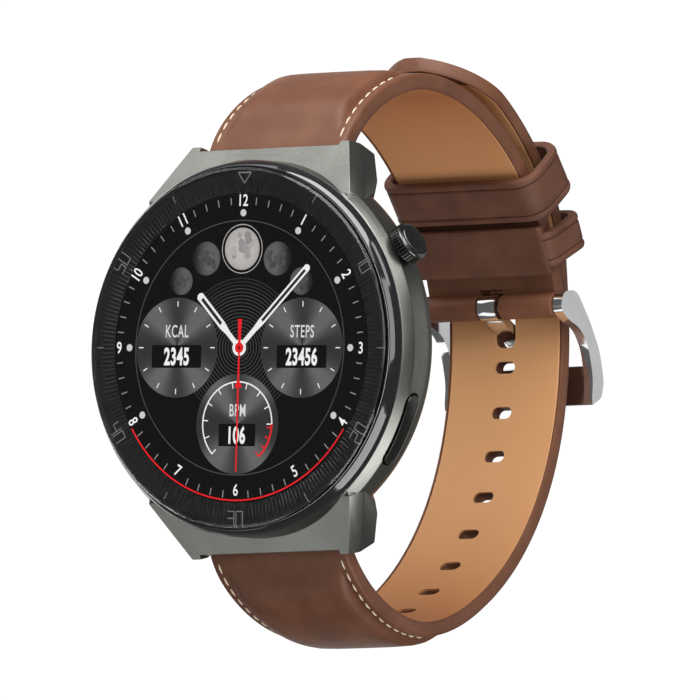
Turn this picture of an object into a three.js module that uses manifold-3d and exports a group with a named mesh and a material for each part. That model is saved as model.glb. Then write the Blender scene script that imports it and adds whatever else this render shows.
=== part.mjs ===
// Round smartwatch on a buckled leather strap, as an assembly of separate pieces.
// Millimetres. The origin is the middle of the sensor window's outer face, which rests on the
// wrist. +Z leaves the dial, +Y points to 12 o'clock and +X to 3 o'clock, the crown side.
import * as THREE from 'three';
import { ConvexGeometry } from 'three/addons/geometries/ConvexGeometry.js';
import { mergeVertices } from 'three/addons/utils/BufferGeometryUtils.js';
import Module from 'manifold-3d';

const wasm = await Module();
wasm.setup();

// ---- driving dimensions ----
const ROUND = 60; // sides of the large round pieces
const SMALL_ROUND = 20; // sides of pins, bores and screws
const INNER_ROUND = 40; // sides of round pieces inside the case
const GAP = 0.1; // space left between neighbouring pieces

const CASE_RADIUS = 23.1;
const CASE_WALL_LOW = 6.0; // the side wall is straight from here
const CASE_WALL_HIGH = 8.0; // to here, where the front chamfer starts
const CASE_RIM_RADIUS = 22.35;
const CASE_RIM_Z = 9.4;
const CASE_FOOT_RADIUS = 20.2;
const CASE_FOOT_Z = 0.9;
const CASE_BELLY = [23.1, 3.4]; // what the lower side bends towards, as radius and z
const RING_WALL_RADIUS = 22.3; // round wall that stands above the sloping hoods
const SEAT_RADIUS = 22.0; // recess for the bezel ring, the glass gasket and the dial ring
const SEAT_Z = 9.0;
const CAVITY_RADIUS = 18.7;
const CAVITY_FLOOR_Z = 2.1;
const BACK_SEAT_RADIUS = 19.4;

const GLASS_RADIUS = 21.4;
const GLASS_FLAT_RADIUS = 19.8;
const GLASS_UNDER_Z = 10.7;
const GLASS_EDGE_Z = 10.8;
const GLASS_TOP_Z = 11.7;
const GLASS_CROWN_Z = 11.85;
const DISPLAY_RADIUS = 18.16; // 1.43 inch round panel
const DISPLAY_TOP_Z = 10.6;

const HOOD_EDGE_Y = 23.96;
const HOOD_EDGE_Z = 5.0;
const HOOD_SLOPE = 0.68; // fall of the hood for each millimetre outwards
const HOOD_THICKNESS = 1.0;
const LUG_GAP_HALF = 10.1; // a 20 mm strap
const LUG_BACK_Z = 0.5;
const POCKET_Y = 20.2;

const BAR_Y = 22.2;
const BAR_Z = 2.5;
const BAR_RADIUS = 0.9;
const BAR_HALF = 9.5;
const TIP_RADIUS = 0.5;
const TIP_REACH = 10.9;

const STRAP_LUG_HALF = 9.9;
const SHORT_BUCKLE_HALF = 9.3;
const LONG_BUCKLE_HALF = 8.3;
const LINING = 0.8;
const LEATHER_START = LINING + GAP;
const SHORT_THICKNESS = 2.0;
const LONG_THICKNESS = 1.8;
const PAD_RISE = 0.9;
const PAD_INSET = 1.9;
const LOOP_Z = -14; // height of the loop's widest place
const LOOP_Y = 31.6; // half the loop's inner width there
const LOOP_DEPTH = 28.5; // from there down to the buckle
const TAIL_CLEARANCE = 0.35;
const TAIL_BULGE = 2.05; // how much further the tail stands off beside the keepers
const TAIL_LIFT = 0.5; // how much further again its tip stands off
const HOLE_PITCH = 5.52;
const HOLE_WIDTH = 2.9;
const HOLE_LENGTH = 1.5;
const FREE_HOLES = 8;
const FIRST_FREE_HOLE = 7.25; // from where the tail meets the buckle pin
const USED_HOLE = 2.7;
const USED_HOLE_LENGTH = 4.4;

const PIN_Y = 7.4;
const PIN_Z = -41.6;
const PIN_RADIUS = 0.7;
const BUCKLE_INNER_HALF = 9.5;
const BUCKLE_ARM = 1.25;
const TANG_WIDTH = 2.5;
const TANG_THICKNESS = 0.9;

const KEEPER_LENGTH = 5.7;
const FREE_KEEPER_INNER_HALF = 10.05;
const FIXED_WRAP_LENGTH = 4.3;
const PATCH_LENGTH = 6.0;
const PATCH_HALF = 9.75;
const KEEPER_WALL = 1.15;
const KEEPER_INNER_HALF = 9.65;
const FIXED_KEEPER_ANGLE = -63.4;
const FREE_KEEPER_ANGLE = -50.4;

const CROWN_ANGLE = 29;
const CROWN_Z = 6.6;
const CROWN_RADIUS = 2.45;
const BUTTON_ANGLE = -26.6;
const BUTTON_Z = 6.9;
const BUTTON_HALF_LENGTH = 4.45;
const BUTTON_HALF_HEIGHT = 1.0;
const SIDE_BORE_GAP = 0.15;

const radians = THREE.MathUtils.degToRad;
const group = new THREE.Group();

// ---- materials ----
const finishes = {
  titanium: [0x8f928a, 0.38, 0.9],
  polished_black: [0x1a1b1c, 0.12, 0.6],
  glass: [0x1c1f22, 0.05, 0.1],
  display: [0x050505, 0.3, 0.0],
  dial_ring: [0x151515, 0.45, 0.1],
  black_plastic: [0x202124, 0.6, 0.0],
  board: [0x1d4a2c, 0.55, 0.1],
  cell: [0xa9adb0, 0.4, 0.5],
  steel: [0xc9cbcc, 0.15, 1.0],
  dark_steel: [0x3a3b3a, 0.3, 1.0],
  gold: [0xd0a850, 0.25, 1.0],
  seal: [0x2a2a2a, 0.85, 0.0],
  sensor_glass: [0x08090b, 0.08, 0.2],
  leather: [0x7a5040, 0.55, 0.0],
  lining: [0xbf8a5a, 0.65, 0.0],
};

function finish(name) {
  const [color, roughness, metalness] = finishes[name];
  return new THREE.MeshStandardMaterial({ color, roughness, metalness });
}

// ---- geometry helpers ----
function signedVolume(position, index) {
  const a = new THREE.Vector3();
  const b = new THREE.Vector3();
  const c = new THREE.Vector3();
  let total = 0;
  for (let i = 0; i < index.length; i += 3) {
    a.fromBufferAttribute(position, index[i]);
    b.fromBufferAttribute(position, index[i + 1]);
    c.fromBufferAttribute(position, index[i + 2]);
    total += a.dot(b.cross(c));
  }
  return total / 6;
}

// Shares the vertices, drops triangles without area and turns every face outwards.
function welded(geometry) {
  const bare = geometry.clone();
  for (const name of Object.keys(bare.attributes)) {
    if (name !== 'position') bare.deleteAttribute(name);
  }
  const merged = mergeVertices(bare, 1e-5);
  const source = merged.index.array;
  const index = [];
  for (let i = 0; i < source.length; i += 3) {
    const [a, b, c] = [source[i], source[i + 1], source[i + 2]];
    if (a !== b && b !== c && c !== a) index.push(a, b, c);
  }
  if (signedVolume(merged.attributes.position, index) < 0) index.reverse();
  merged.setIndex(index);
  return merged;
}

function solid(geometry) {
  const { attributes, index } = welded(geometry);
  return new wasm.Manifold(new wasm.Mesh({
    numProp: 3,
    vertProperties: new Float32Array(attributes.position.array),
    triVerts: new Uint32Array(index.array),
  }));
}

function geometryOf(manifold) {
  const mesh = manifold.getMesh();
  const geometry = new THREE.BufferGeometry();
  geometry.setAttribute('position', new THREE.BufferAttribute(mesh.vertProperties, 3));
  geometry.setIndex(new THREE.BufferAttribute(mesh.triVerts, 1));
  return geometry;
}

function joined(first, ...others) {
  return others.reduce((whole, other) => whole.add(other), first);
}

function cut(first, ...tools) {
  return tools.reduce((whole, tool) => whole.subtract(tool), first);
}

function vectors(points) {
  return points.map(([a, b]) => new THREE.Vector2(a, b));
}

function outline(points) {
  return new THREE.Shape(vectors(points));
}

// A closed profile of [radius, z] turned about +Z.
function turned(profile, segments = ROUND) {
  return new THREE.LatheGeometry(vectors(profile), segments).rotateX(Math.PI / 2);
}

// A ring with a rectangular section, or a disc where the inner radius is zero.
function ring(inner, outer, low, high, segments = ROUND) {
  const profile = [[inner, low], [outer, low], [outer, high], [inner, high]];
  if (inner > 0) profile.push([inner, low]);
  return turned(profile, segments);
}

function extruded(shape, depth) {
  return new THREE.ExtrudeGeometry(shape, { depth, bevelEnabled: false, curveSegments: 8 });
}

const X = new THREE.Vector3(1, 0, 0);
const Y = new THREE.Vector3(0, 1, 0);
const Z = new THREE.Vector3(0, 0, 1);

// The shape lies in the (y, z) plane and runs along x.
function alongX(shape, from, to) {
  const turn = new THREE.Matrix4().makeBasis(Y, Z, X);
  return extruded(shape, to - from).applyMatrix4(turn).translate(from, 0, 0);
}

// The shape lies in the (x, z) plane and runs along y.
function alongY(shape, from, to) {
  const turn = new THREE.Matrix4().makeBasis(X, Z, Y.clone().negate());
  return extruded(shape, to - from).applyMatrix4(turn).translate(0, to, 0);
}

function alongZ(shape, from, to) {
  return extruded(shape, to - from).translate(0, 0, from);
}

function circle(radius, a = 0, b = 0, segments = SMALL_ROUND) {
  const points = [];
  for (let i = 0; i < segments; i += 1) {
    const turn = (2 * Math.PI * i) / segments;
    points.push([a + radius * Math.cos(turn), b + radius * Math.sin(turn)]);
  }
  return outline(points);
}

function rodX(radius, from, to, y = 0, z = 0, segments = SMALL_ROUND) {
  return alongX(circle(radius, y, z, segments), from, to);
}

function rectangle(halfA, halfB, a = 0, b = 0) {
  return outline([
    [a - halfA, b - halfB],
    [a + halfA, b - halfB],
    [a + halfA, b + halfB],
    [a - halfA, b + halfB],
  ]);
}

// A rectangle whose corners are arcs; with the radius at half its height it is a pill.
function roundedRectangle(halfA, halfB, radius, steps = 5, b = 0) {
  const points = [];
  for (let corner = 0; corner < 4; corner += 1) {
    const signA = corner === 0 || corner === 3 ? 1 : -1;
    const signB = corner < 2 ? 1 : -1;
    for (let i = 0; i <= steps; i += 1) {
      const turn = (Math.PI / 2) * (corner + i / steps);
      points.push([
        signA * (halfA - radius) + radius * Math.cos(turn),
        b + signB * (halfB - radius) + radius * Math.sin(turn),
      ]);
    }
  }
  return outline(points);
}

function box(sizeX, sizeY, sizeZ, x, y, z) {
  return new THREE.BoxGeometry(sizeX, sizeY, sizeZ).translate(x, y, z);
}

function add(name, finishName, geometry, parent = group) {
  const mesh = new THREE.Mesh(welded(geometry), finish(finishName));
  mesh.name = name;
  parent.add(mesh);
}

// A side control points outwards along its own +X.
function sideGroup(degrees, height) {
  const side = new THREE.Group();
  side.rotation.z = radians(degrees);
  side.position.z = height;
  group.add(side);
  return side;
}

function sideTool(geometry, degrees, height) {
  return solid(geometry.rotateZ(radians(degrees)).translate(0, 0, height));
}

// ---- case ----
function hoodHeight(y) {
  return HOOD_EDGE_Z + HOOD_SLOPE * (HOOD_EDGE_Y - y);
}

function caseOutside() {
  const profile = [[0, CASE_FOOT_Z]];
  const belly = new THREE.QuadraticBezierCurve(
    new THREE.Vector2(CASE_FOOT_RADIUS, CASE_FOOT_Z),
    new THREE.Vector2(...CASE_BELLY),
    new THREE.Vector2(CASE_RADIUS, CASE_WALL_LOW),
  );
  for (const { x, y } of belly.getPoints(6)) profile.push([x, y]);
  profile.push([CASE_RADIUS, CASE_WALL_HIGH]);
  profile.push([CASE_RIM_RADIUS, CASE_RIM_Z]);
  profile.push([0, CASE_RIM_Z]);
  return solid(turned(profile));
}

// Both lugs of one end with the hood between them, before the hood's slope is cut.
function lugBlock(end) {
  const corners = [
    [11.2, 24.5, 4.85],
    [13.1, 20.5, 7.5],
    [14.5, 18.0, 9.1],
    [14.2, 17.0, CASE_RIM_Z - 0.05],
    [12.0, 24.2, 3.3],
    [13.9, 20.2, 5.9],
    [15.4, 17.2, 7.3],
    [12.6, 23.0, 1.2],
    [12.0, 22.8, LUG_BACK_Z],
    [14.0, 19.7, 2.6],
    [14.5, 18.2, 3.8],
    [11.5, 16.2, LUG_BACK_Z],
    [10.0, 14.0, CASE_RIM_Z - 0.05],
    [10.0, 14.0, LUG_BACK_Z],
  ];
  const points = [];
  for (const [x, y, z] of corners) {
    points.push(new THREE.Vector3(x, end * y, z), new THREE.Vector3(-x, end * y, z));
  }
  return solid(new ConvexGeometry(points));
}

// Everything above one sloping hood and outside the round ring wall.
function hoodTool(end) {
  const inner = 13;
  const outer = 28;
  const top = 14;
  const slope = outline([
    [end * inner, hoodHeight(inner)],
    [end * outer, hoodHeight(outer)],
    [end * outer, top],
    [end * inner, top],
  ]);
  const ringWall = solid(ring(0, RING_WALL_RADIUS, -1, top + 1));
  return solid(alongX(slope, -20, 20)).subtract(ringWall);
}

// The hood's straight edge between the lugs.
function hoodEdgeTool(end) {
  const near = Math.min(end * HOOD_EDGE_Y, end * 30);
  const far = Math.max(end * HOOD_EDGE_Y, end * 30);
  return solid(alongY(rectangle(LUG_GAP_HALF, 12, 0, 4), near, far));
}

// The space between the lugs and under the hood that takes the strap's end.
function strapPocket(end) {
  const under = (y) => hoodHeight(y) - HOOD_THICKNESS;
  const shape = outline([
    [end * POCKET_Y, -2],
    [end * 30, -2],
    [end * 30, under(HOOD_EDGE_Y)],
    [end * HOOD_EDGE_Y, under(HOOD_EDGE_Y)],
    [end * POCKET_Y, under(POCKET_Y)],
  ]);
  return solid(alongX(shape, -LUG_GAP_HALF, LUG_GAP_HALF));
}

function cavityTool() {
  return joined(
    solid(ring(0, SEAT_RADIUS, SEAT_Z, 16)),
    solid(ring(0, CAVITY_RADIUS, CAVITY_FLOOR_Z - 1, SEAT_Z + 1)),
    solid(ring(0, BACK_SEAT_RADIUS, -2, CAVITY_FLOOR_Z)),
  );
}

const SCREW_RADIUS = 17.3;
const BOSS_RADIUS = 1.5;
const BOSS_TOP = 4.4;
const SCREW_ANGLES = [45, 135, 225, 315];

function polar(radius, degrees) {
  return [radius * Math.cos(radians(degrees)), radius * Math.sin(radians(degrees))];
}

function screwBoss(degrees) {
  const [x, y] = polar(SCREW_RADIUS, degrees);
  const post = alongZ(circle(BOSS_RADIUS, x, y), CAVITY_FLOOR_Z + GAP, BOSS_TOP);
  const bore = alongZ(circle(0.65, x, y), 0, BOSS_TOP - 0.4);
  return { post: solid(post), bore: solid(bore) };
}

function buildCase() {
  let body = joined(caseOutside(), lugBlock(1), lugBlock(-1));
  body = cut(body, cavityTool());
  for (const degrees of SCREW_ANGLES) body = body.add(screwBoss(degrees).post);
  for (const degrees of SCREW_ANGLES) body = body.subtract(screwBoss(degrees).bore);
  for (const end of [1, -1]) {
    body = cut(body, hoodTool(end), hoodEdgeTool(end), strapPocket(end));
    const bore = rodX(TIP_RADIUS + SIDE_BORE_GAP, -TIP_REACH - 0.3, TIP_REACH + 0.3, end * BAR_Y, BAR_Z);
    body = body.subtract(solid(bore));
  }
  const crownBore = rodX(1.6 + SIDE_BORE_GAP, 17, 26);
  const slotGap = 0.25;
  const slot = roundedRectangle(
    BUTTON_HALF_LENGTH + slotGap,
    BUTTON_HALF_HEIGHT + slotGap,
    BUTTON_HALF_HEIGHT + slotGap,
  );
  body = cut(
    body,
    sideTool(crownBore, CROWN_ANGLE, CROWN_Z),
    sideTool(alongX(slot, 20.9, 26), BUTTON_ANGLE, BUTTON_Z),
    sideTool(rodX(1.0, 17, 22), BUTTON_ANGLE, BUTTON_Z),
  );
  add('case_body', 'titanium', geometryOf(body));
}

function buildFront() {
  const seat = SEAT_Z + GAP / 2;
  add('bezel_ring', 'polished_black', turned([
    [21.5, seat],
    [21.95, seat],
    [21.95, CASE_RIM_Z + GAP],
    [CASE_RIM_RADIUS - 0.05, CASE_RIM_Z + GAP],
    [21.95, 10.4],
    [21.6, 10.85],
    [21.5, 10.85],
    [21.5, seat],
  ]));
  add('glass_gasket', 'seal', ring(20.95, 21.38, seat, GLASS_UNDER_Z - GAP / 2, INNER_ROUND));
  add('dial_ring', 'dial_ring', turned([
    [18.3, seat],
    [20.85, seat],
    [20.85, DISPLAY_TOP_Z],
    [18.3, DISPLAY_TOP_Z - 0.1],
    [18.3, seat],
  ]));
  add('display_panel', 'display', ring(0, DISPLAY_RADIUS, 9.3, DISPLAY_TOP_Z, INNER_ROUND));
  const glass = [[0, GLASS_UNDER_Z], [GLASS_RADIUS, GLASS_UNDER_Z], [GLASS_RADIUS, GLASS_EDGE_Z]];
  const steps = 4;
  for (let i = 1; i <= steps; i += 1) {
    const turn = (Math.PI / 2) * (i / steps);
    glass.push([
      GLASS_FLAT_RADIUS + (GLASS_RADIUS - GLASS_FLAT_RADIUS) * Math.cos(turn),
      GLASS_EDGE_Z + (GLASS_TOP_Z - GLASS_EDGE_Z) * Math.sin(turn),
    ]);
  }
  glass.push([0, GLASS_CROWN_Z]);
  add('cover_glass', 'glass', turned(glass));
}

// ---- inside the case ----
const FRAME_LOW = 7.5;
const FRAME_PLATE = 0.5;
const BATTERY = { x: 18, y: 19, z: 4.3, atX: -3, low: 2.9 };

function buildInside() {
  const frameTop = 9.2;
  add('inner_frame', 'black_plastic', turned([
    [0, FRAME_LOW],
    [18.2, FRAME_LOW],
    [18.2, frameTop],
    [17.5, frameTop],
    [17.5, FRAME_LOW + FRAME_PLATE],
    [0, FRAME_LOW + FRAME_PLATE],
  ], INNER_ROUND));
  const boardLow = FRAME_LOW + FRAME_PLATE + GAP;
  add('main_board', 'board', ring(0, 17.4, boardLow, boardLow + 0.8, INNER_ROUND));
  const cell = alongZ(roundedRectangle(BATTERY.x / 2, BATTERY.y / 2, 2, 3), 0, BATTERY.z);
  add('battery', 'cell', cell.translate(BATTERY.atX, 0, BATTERY.low));
  add('vibration_motor', 'steel', ring(0, 3.9, 2.9, 5.6, 24).translate(11.4, -0.4, 0));
  add('speaker', 'black_plastic', box(3.2, 9.5, 3, -15, 0, 4.6));
}

function buildBack() {
  const windowRadius = 13;
  const coverLow = 0.6;
  const coverTop = CAVITY_FLOOR_Z - GAP / 2;
  const step = 1.3;
  let cover = solid(turned([
    [windowRadius + GAP, coverLow],
    [BACK_SEAT_RADIUS - 0.15, coverLow],
    [BACK_SEAT_RADIUS - 0.15, step],
    [16.2, step],
    [16.2, coverTop],
    [windowRadius - 1.2, coverTop],
    [windowRadius - 1.2, 1.7],
    [windowRadius + GAP, 1.7],
    [windowRadius + GAP, coverLow],
  ], INNER_ROUND));
  const headLow = 0.65;
  const headHigh = 1.0;
  for (const degrees of SCREW_ANGLES) {
    const [x, y] = polar(SCREW_RADIUS, degrees);
    cover = cut(
      cover,
      solid(alongZ(circle(1.15, x, y), 0, headHigh)),
      solid(alongZ(circle(0.65, x, y), 0, 3)),
    );
  }
  add('back_cover', 'steel', geometryOf(cover));
  SCREW_ANGLES.forEach((degrees, i) => {
    const [x, y] = polar(SCREW_RADIUS, degrees);
    const screw = turned([
      [0, headLow],
      [1.05, headLow],
      [1.05, headHigh - 0.05],
      [0.55, headHigh - 0.05],
      [0.55, 3.8],
      [0, 3.8],
    ], 16);
    add(`back_screw_${i + 1}`, 'dark_steel', screw.translate(x, y, 0));
  });
  add('back_gasket', 'seal', ring(
    BACK_SEAT_RADIUS - 0.9,
    BACK_SEAT_RADIUS - 0.2,
    step + 0.05,
    coverTop,
    INNER_ROUND,
  ));
  const window = turned([
    [0, 0],
    [windowRadius - 2.5, 0],
    [windowRadius - 0.7, 0.3],
    [windowRadius, 0.8],
    [windowRadius, 1.6],
    [0, 1.6],
  ], INNER_ROUND);
  const contactY = 9.4;
  const contactHalf = 2.6;
  let glass = solid(window);
  for (const side of [-1, 1]) {
    glass = glass.subtract(solid(alongZ(circle(0.95, side * contactHalf, -contactY), -1, 3)));
  }
  add('sensor_window', 'sensor_glass', geometryOf(glass));
  [-1, 1].forEach((side, i) => {
    const contact = ring(0, 0.85, 0.05, 1.6, 16).translate(side * contactHalf, -contactY, 0);
    add(`charge_contact_${i + 1}`, 'gold', contact);
  });
  add('heart_sensor_board', 'board', ring(0, 11.2, 1.75, 2.6, INNER_ROUND));
}

// ---- crown at 2 o'clock ----
function knurled(radius, depth, teeth) {
  const points = [];
  for (let i = 0; i < teeth; i += 1) {
    const pitch = (2 * Math.PI) / teeth;
    for (const [part, r] of [[0, radius], [0.5, radius], [0.6, radius - depth], [0.9, radius - depth]]) {
      points.push([r * Math.cos(pitch * (i + part)), r * Math.sin(pitch * (i + part))]);
    }
  }
  return outline(points);
}

// A closed profile of [radius, x] turned about the control's own +X.
function turnedX(profile, segments = SMALL_ROUND) {
  return new THREE.LatheGeometry(vectors(profile), segments).rotateZ(-Math.PI / 2);
}

function buildCrown() {
  const side = sideGroup(CROWN_ANGLE, CROWN_Z);
  add('crown_tube', 'steel', turnedX([
    [1.1, 18.9],
    [1.6, 18.9],
    [1.6, 23.0],
    [1.1, 23.0],
    [1.1, 18.9],
  ]), side);
  add('crown_switch', 'black_plastic', box(1.5, 3.6, 1.6, 14.2, 0, 0), side);
  add('crown_plunger', 'steel', turnedX([
    [0, 15.55],
    [0.8, 15.55],
    [0.8, 16.9],
    [0, 16.9],
  ]), side);
  add('crown_stem', 'steel', turnedX([
    [0, 17.0],
    [0.75, 17.0],
    [0.75, 23.45],
    [0, 23.45],
  ]), side);
  add('crown_o_ring', 'seal', turnedX([
    [0.8, 20.6],
    [1.02, 20.6],
    [1.02, 21.2],
    [0.8, 21.2],
    [0.8, 20.6],
  ]), side);
  const knobLow = 23.55;
  const knobHigh = 24.85;
  add('crown_knob', 'dark_steel', alongX(knurled(CROWN_RADIUS, 0.2, 30), knobLow, knobHigh), side);
  const ringHigh = 25.3;
  add('crown_ring', 'steel', turnedX([
    [1.95, knobHigh + GAP],
    [CROWN_RADIUS, knobHigh + GAP],
    [CROWN_RADIUS, ringHigh - 0.35],
    [2.1, ringHigh],
    [1.95, ringHigh],
    [1.95, knobHigh + GAP],
  ], 36), side);
  add('crown_cap', 'dark_steel', turnedX([
    [0, knobHigh + GAP],
    [1.85, knobHigh + GAP],
    [1.85, ringHigh + 0.05],
    [1.7, ringHigh + 0.15],
    [0, ringHigh + 0.15],
  ], 36), side);
}

// ---- button at 4 o'clock ----
function buildButton() {
  const side = sideGroup(BUTTON_ANGLE, BUTTON_Z);
  const pill = roundedRectangle(BUTTON_HALF_LENGTH, BUTTON_HALF_HEIGHT, BUTTON_HALF_HEIGHT);
  const front = solid(ring(0, CASE_RADIUS + 0.15, -5, 5, 96));
  const cap = solid(alongX(pill, 21.9, 26)).intersect(front);
  add('side_button', 'titanium', geometryOf(cap), side);
  add('button_stem', 'steel', rodX(0.6, 17.3, 21.8), side);
  add('button_seal', 'seal', turnedX([
    [0.68, 19.2],
    [0.9, 19.2],
    [0.9, 19.8],
    [0.68, 19.8],
    [0.68, 19.2],
  ]), side);
  add('button_switch', 'black_plastic', box(1.5, 3.2, 1.0, 15.95, 0, 0), side);
}

// ---- spring bars ----
function buildSpringBars() {
  for (const [name, end] of [['upper', 1], ['lower', -1]]) {
    const wall = 0.3;
    const sleeve = solid(rodX(BAR_RADIUS, -BAR_HALF, BAR_HALF, end * BAR_Y, BAR_Z));
    const bore = solid(rodX(BAR_RADIUS - wall, -BAR_HALF - 1, BAR_HALF + 1, end * BAR_Y, BAR_Z));
    add(`${name}_bar_sleeve`, 'steel', geometryOf(sleeve.subtract(bore)));
    for (const [sideName, side] of [['left', -1], ['right', 1]]) {
      const low = Math.min(side * (TIP_REACH - 4.5), side * TIP_REACH);
      const high = Math.max(side * (TIP_REACH - 4.5), side * TIP_REACH);
      add(`${name}_bar_tip_${sideName}`, 'steel', rodX(TIP_RADIUS, low, high, end * BAR_Y, BAR_Z));
    }
  }
}

// ---- the loop that both strap halves follow ----
// Each place on a route is a point of the strap's inner face with its outward normal.
function loopPlace(degrees) {
  const turn = radians(degrees);
  const point = new THREE.Vector2(LOOP_Y * Math.cos(turn), LOOP_Z + LOOP_DEPTH * Math.sin(turn));
  const normal = new THREE.Vector2(Math.cos(turn) / LOOP_Y, Math.sin(turn) / LOOP_DEPTH);
  return { point, normal: normal.normalize() };
}

function curvePlaces(curve, count, from = 0, to = 1) {
  const places = [];
  for (let i = 0; i <= count; i += 1) {
    const at = from + ((to - from) * i) / count;
    const tangent = curve.getTangent(at);
    places.push({ point: curve.getPoint(at), normal: new THREE.Vector2(-tangent.y, tangent.x) });
  }
  return places;
}

function bezier(...points) {
  return new THREE.CubicBezierCurve(...vectors(points));
}

const ROOT_Z = 1.9;
const upperRoot = bezier([BAR_Y, ROOT_Z], [25.2, 1.8], [31.3, -5], [LOOP_Y, LOOP_Z]);
const lowerRoot = bezier([-BAR_Y, ROOT_Z], [-25.2, 1.8], [-31.3, -5], [-LOOP_Y, LOOP_Z]);
const TAIL_START = -77;
const TAIL_END = -15;
const tailInner = SHORT_THICKNESS + TAIL_CLEARANCE;
const tailFirst = loopPlace(TAIL_START);
const tailJoin = tailFirst.point.clone().addScaledVector(tailFirst.normal, tailInner);
const lowerSweep = bezier([-LOOP_Y, LOOP_Z], [-LOOP_Y, -25.5], [-20.5, -46], [tailJoin.x, tailJoin.y]);

function flipped(places) {
  return places.map(({ point, normal }) => ({ point, normal: normal.clone().negate() }));
}

// The short strap, from the upper lugs down the loop towards the buckle pin.
function shortRoute(fromRoot, toDegrees, fromDegrees = 0) {
  const places = [];
  if (fromRoot !== null) places.push(...curvePlaces(upperRoot, 9, fromRoot, 1));
  const step = 4;
  const count = Math.max(1, Math.round((fromDegrees - toDegrees) / step));
  for (let i = fromRoot === null ? 0 : 1; i <= count; i += 1) {
    places.push(loopPlace(fromDegrees + ((toDegrees - fromDegrees) * i) / count));
  }
  return places;
}

function longRoute(fromRoot) {
  const root = flipped(curvePlaces(lowerRoot, 9, fromRoot, 1));
  const sweep = flipped(curvePlaces(lowerSweep, 18));
  return [...root, ...sweep.slice(1, -1), ...tailRoute()];
}

function eased(value) {
  const t = Math.min(1, Math.max(0, value));
  return t * t * (3 - 2 * t);
}

// How far the tail's inner face stands off the loop. It rises past the pin, stands
// off beside the keepers and lifts a little more towards its tip.
function tailOffset(degrees) {
  const rise = eased((degrees - TAIL_START + 2) / 22);
  const lift = eased((degrees + 30) / 15);
  return tailInner + TAIL_BULGE * rise + TAIL_LIFT * lift;
}

function tailRoute() {
  const places = [];
  const count = 20;
  for (let i = 0; i <= count; i += 1) {
    const degrees = TAIL_START + ((TAIL_END - TAIL_START) * i) / count;
    const { point, normal } = loopPlace(degrees);
    places.push({ point: point.addScaledVector(normal, tailOffset(degrees)), normal });
  }
  return places;
}

// The side view of a layer between two distances from the route, as a closed outline.
function layer(places, inner, outer) {
  const away = (place, distance) => {
    const spot = place.point.clone().addScaledVector(place.normal, distance);
    return [spot.x, spot.y];
  };
  const near = places.map((place) => away(place, inner));
  const far = places.map((place, i) => away(place, outer(i / (places.length - 1))));
  return outline([...near, ...far.reverse()]);
}

const STRAP_LOW = -60;
const STRAP_HIGH = 12;
const TAPER_HIGH_Z = 0;
const TAPER_LOW_Z = -27;

// The front view: full width at the lugs, narrower at the buckle.
function taper(buckleHalf, inset, to = 60) {
  const wide = STRAP_LUG_HALF - inset;
  const narrow = buckleHalf - inset;
  const shape = outline([
    [-narrow, STRAP_LOW],
    [narrow, STRAP_LOW],
    [narrow, TAPER_LOW_Z],
    [wide, TAPER_HIGH_Z],
    [wide, STRAP_HIGH],
    [-wide, STRAP_HIGH],
    [-wide, TAPER_HIGH_Z],
    [-narrow, TAPER_LOW_Z],
  ]);
  return solid(alongY(shape, -60, to));
}

const TAIL_FROM_Y = 5;

function tailOutline() {
  const shoulder = -30;
  const bend = -26.5;
  const bendHalf = 6.3;
  const tip = -24;
  const tipHalf = 2.4;
  const shape = outline([
    [-LONG_BUCKLE_HALF, STRAP_LOW],
    [LONG_BUCKLE_HALF, STRAP_LOW],
    [LONG_BUCKLE_HALF, shoulder],
    [bendHalf, bend],
    [tipHalf, tip],
    [-tipHalf, tip],
    [-bendHalf, bend],
    [-LONG_BUCKLE_HALF, shoulder],
  ]);
  return solid(alongY(shape, TAIL_FROM_Y, 60));
}

function strapSheet(places, inner, outer, front) {
  const full = STRAP_LUG_HALF + 1;
  const thickness = typeof outer === 'number' ? () => outer : outer;
  return solid(alongX(layer(places, inner, thickness), -full, full)).intersect(front);
}

function padThickness(base) {
  return (along) => base + PAD_RISE * Math.min(1, along / 0.25, (1 - along) / 0.08 + 0.15);
}

function rootTube(end) {
  const tube = solid(rodX(1.35, -STRAP_LUG_HALF, STRAP_LUG_HALF, end * BAR_Y, BAR_Z));
  const bore = solid(rodX(BAR_RADIUS + GAP, -20, 20, end * BAR_Y, BAR_Z));
  return { tube, bore };
}

const LINING_FROM = 0.22;
const PAD_FROM = 0.16;
const SHORT_END = -75.5; // where the short strap meets the tube round the pin

function buildShortStrap() {
  const front = taper(SHORT_BUCKLE_HALF, 0);
  const padFront = taper(SHORT_BUCKLE_HALF, PAD_INSET);
  const padPlaces = curvePlaces(upperRoot, 8, PAD_FROM, 0.86);
  const { tube, bore } = rootTube(1);
  const pinTube = solid(rodX(1.5, -SHORT_BUCKLE_HALF, SHORT_BUCKLE_HALF, PIN_Y, PIN_Z));
  const pinBore = solid(rodX(PIN_RADIUS + GAP, -20, 20, PIN_Y, PIN_Z));
  const foldTop = -60;
  const leather = joined(
    strapSheet(shortRoute(0.02, SHORT_END), LEATHER_START, SHORT_THICKNESS, front),
    strapSheet(padPlaces, LINING + 0.4, padThickness(SHORT_THICKNESS), padFront),
    strapSheet(shortRoute(null, SHORT_END, foldTop), 0, SHORT_THICKNESS, front),
    tube,
    pinTube,
  );
  const slotLength = 3.8;
  const slotRise = 0.2;
  const tangSlot = solid(box(TANG_WIDTH + 0.9, slotLength, 6, 0, PIN_Y + slotRise, PIN_Z));
  add('upper_strap_leather', 'leather', geometryOf(cut(leather, bore, pinBore, tangSlot)));
  const lining = strapSheet(shortRoute(LINING_FROM, foldTop + 0.6), 0, LINING, front);
  add('upper_strap_lining', 'lining', geometryOf(lining));
}

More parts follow.
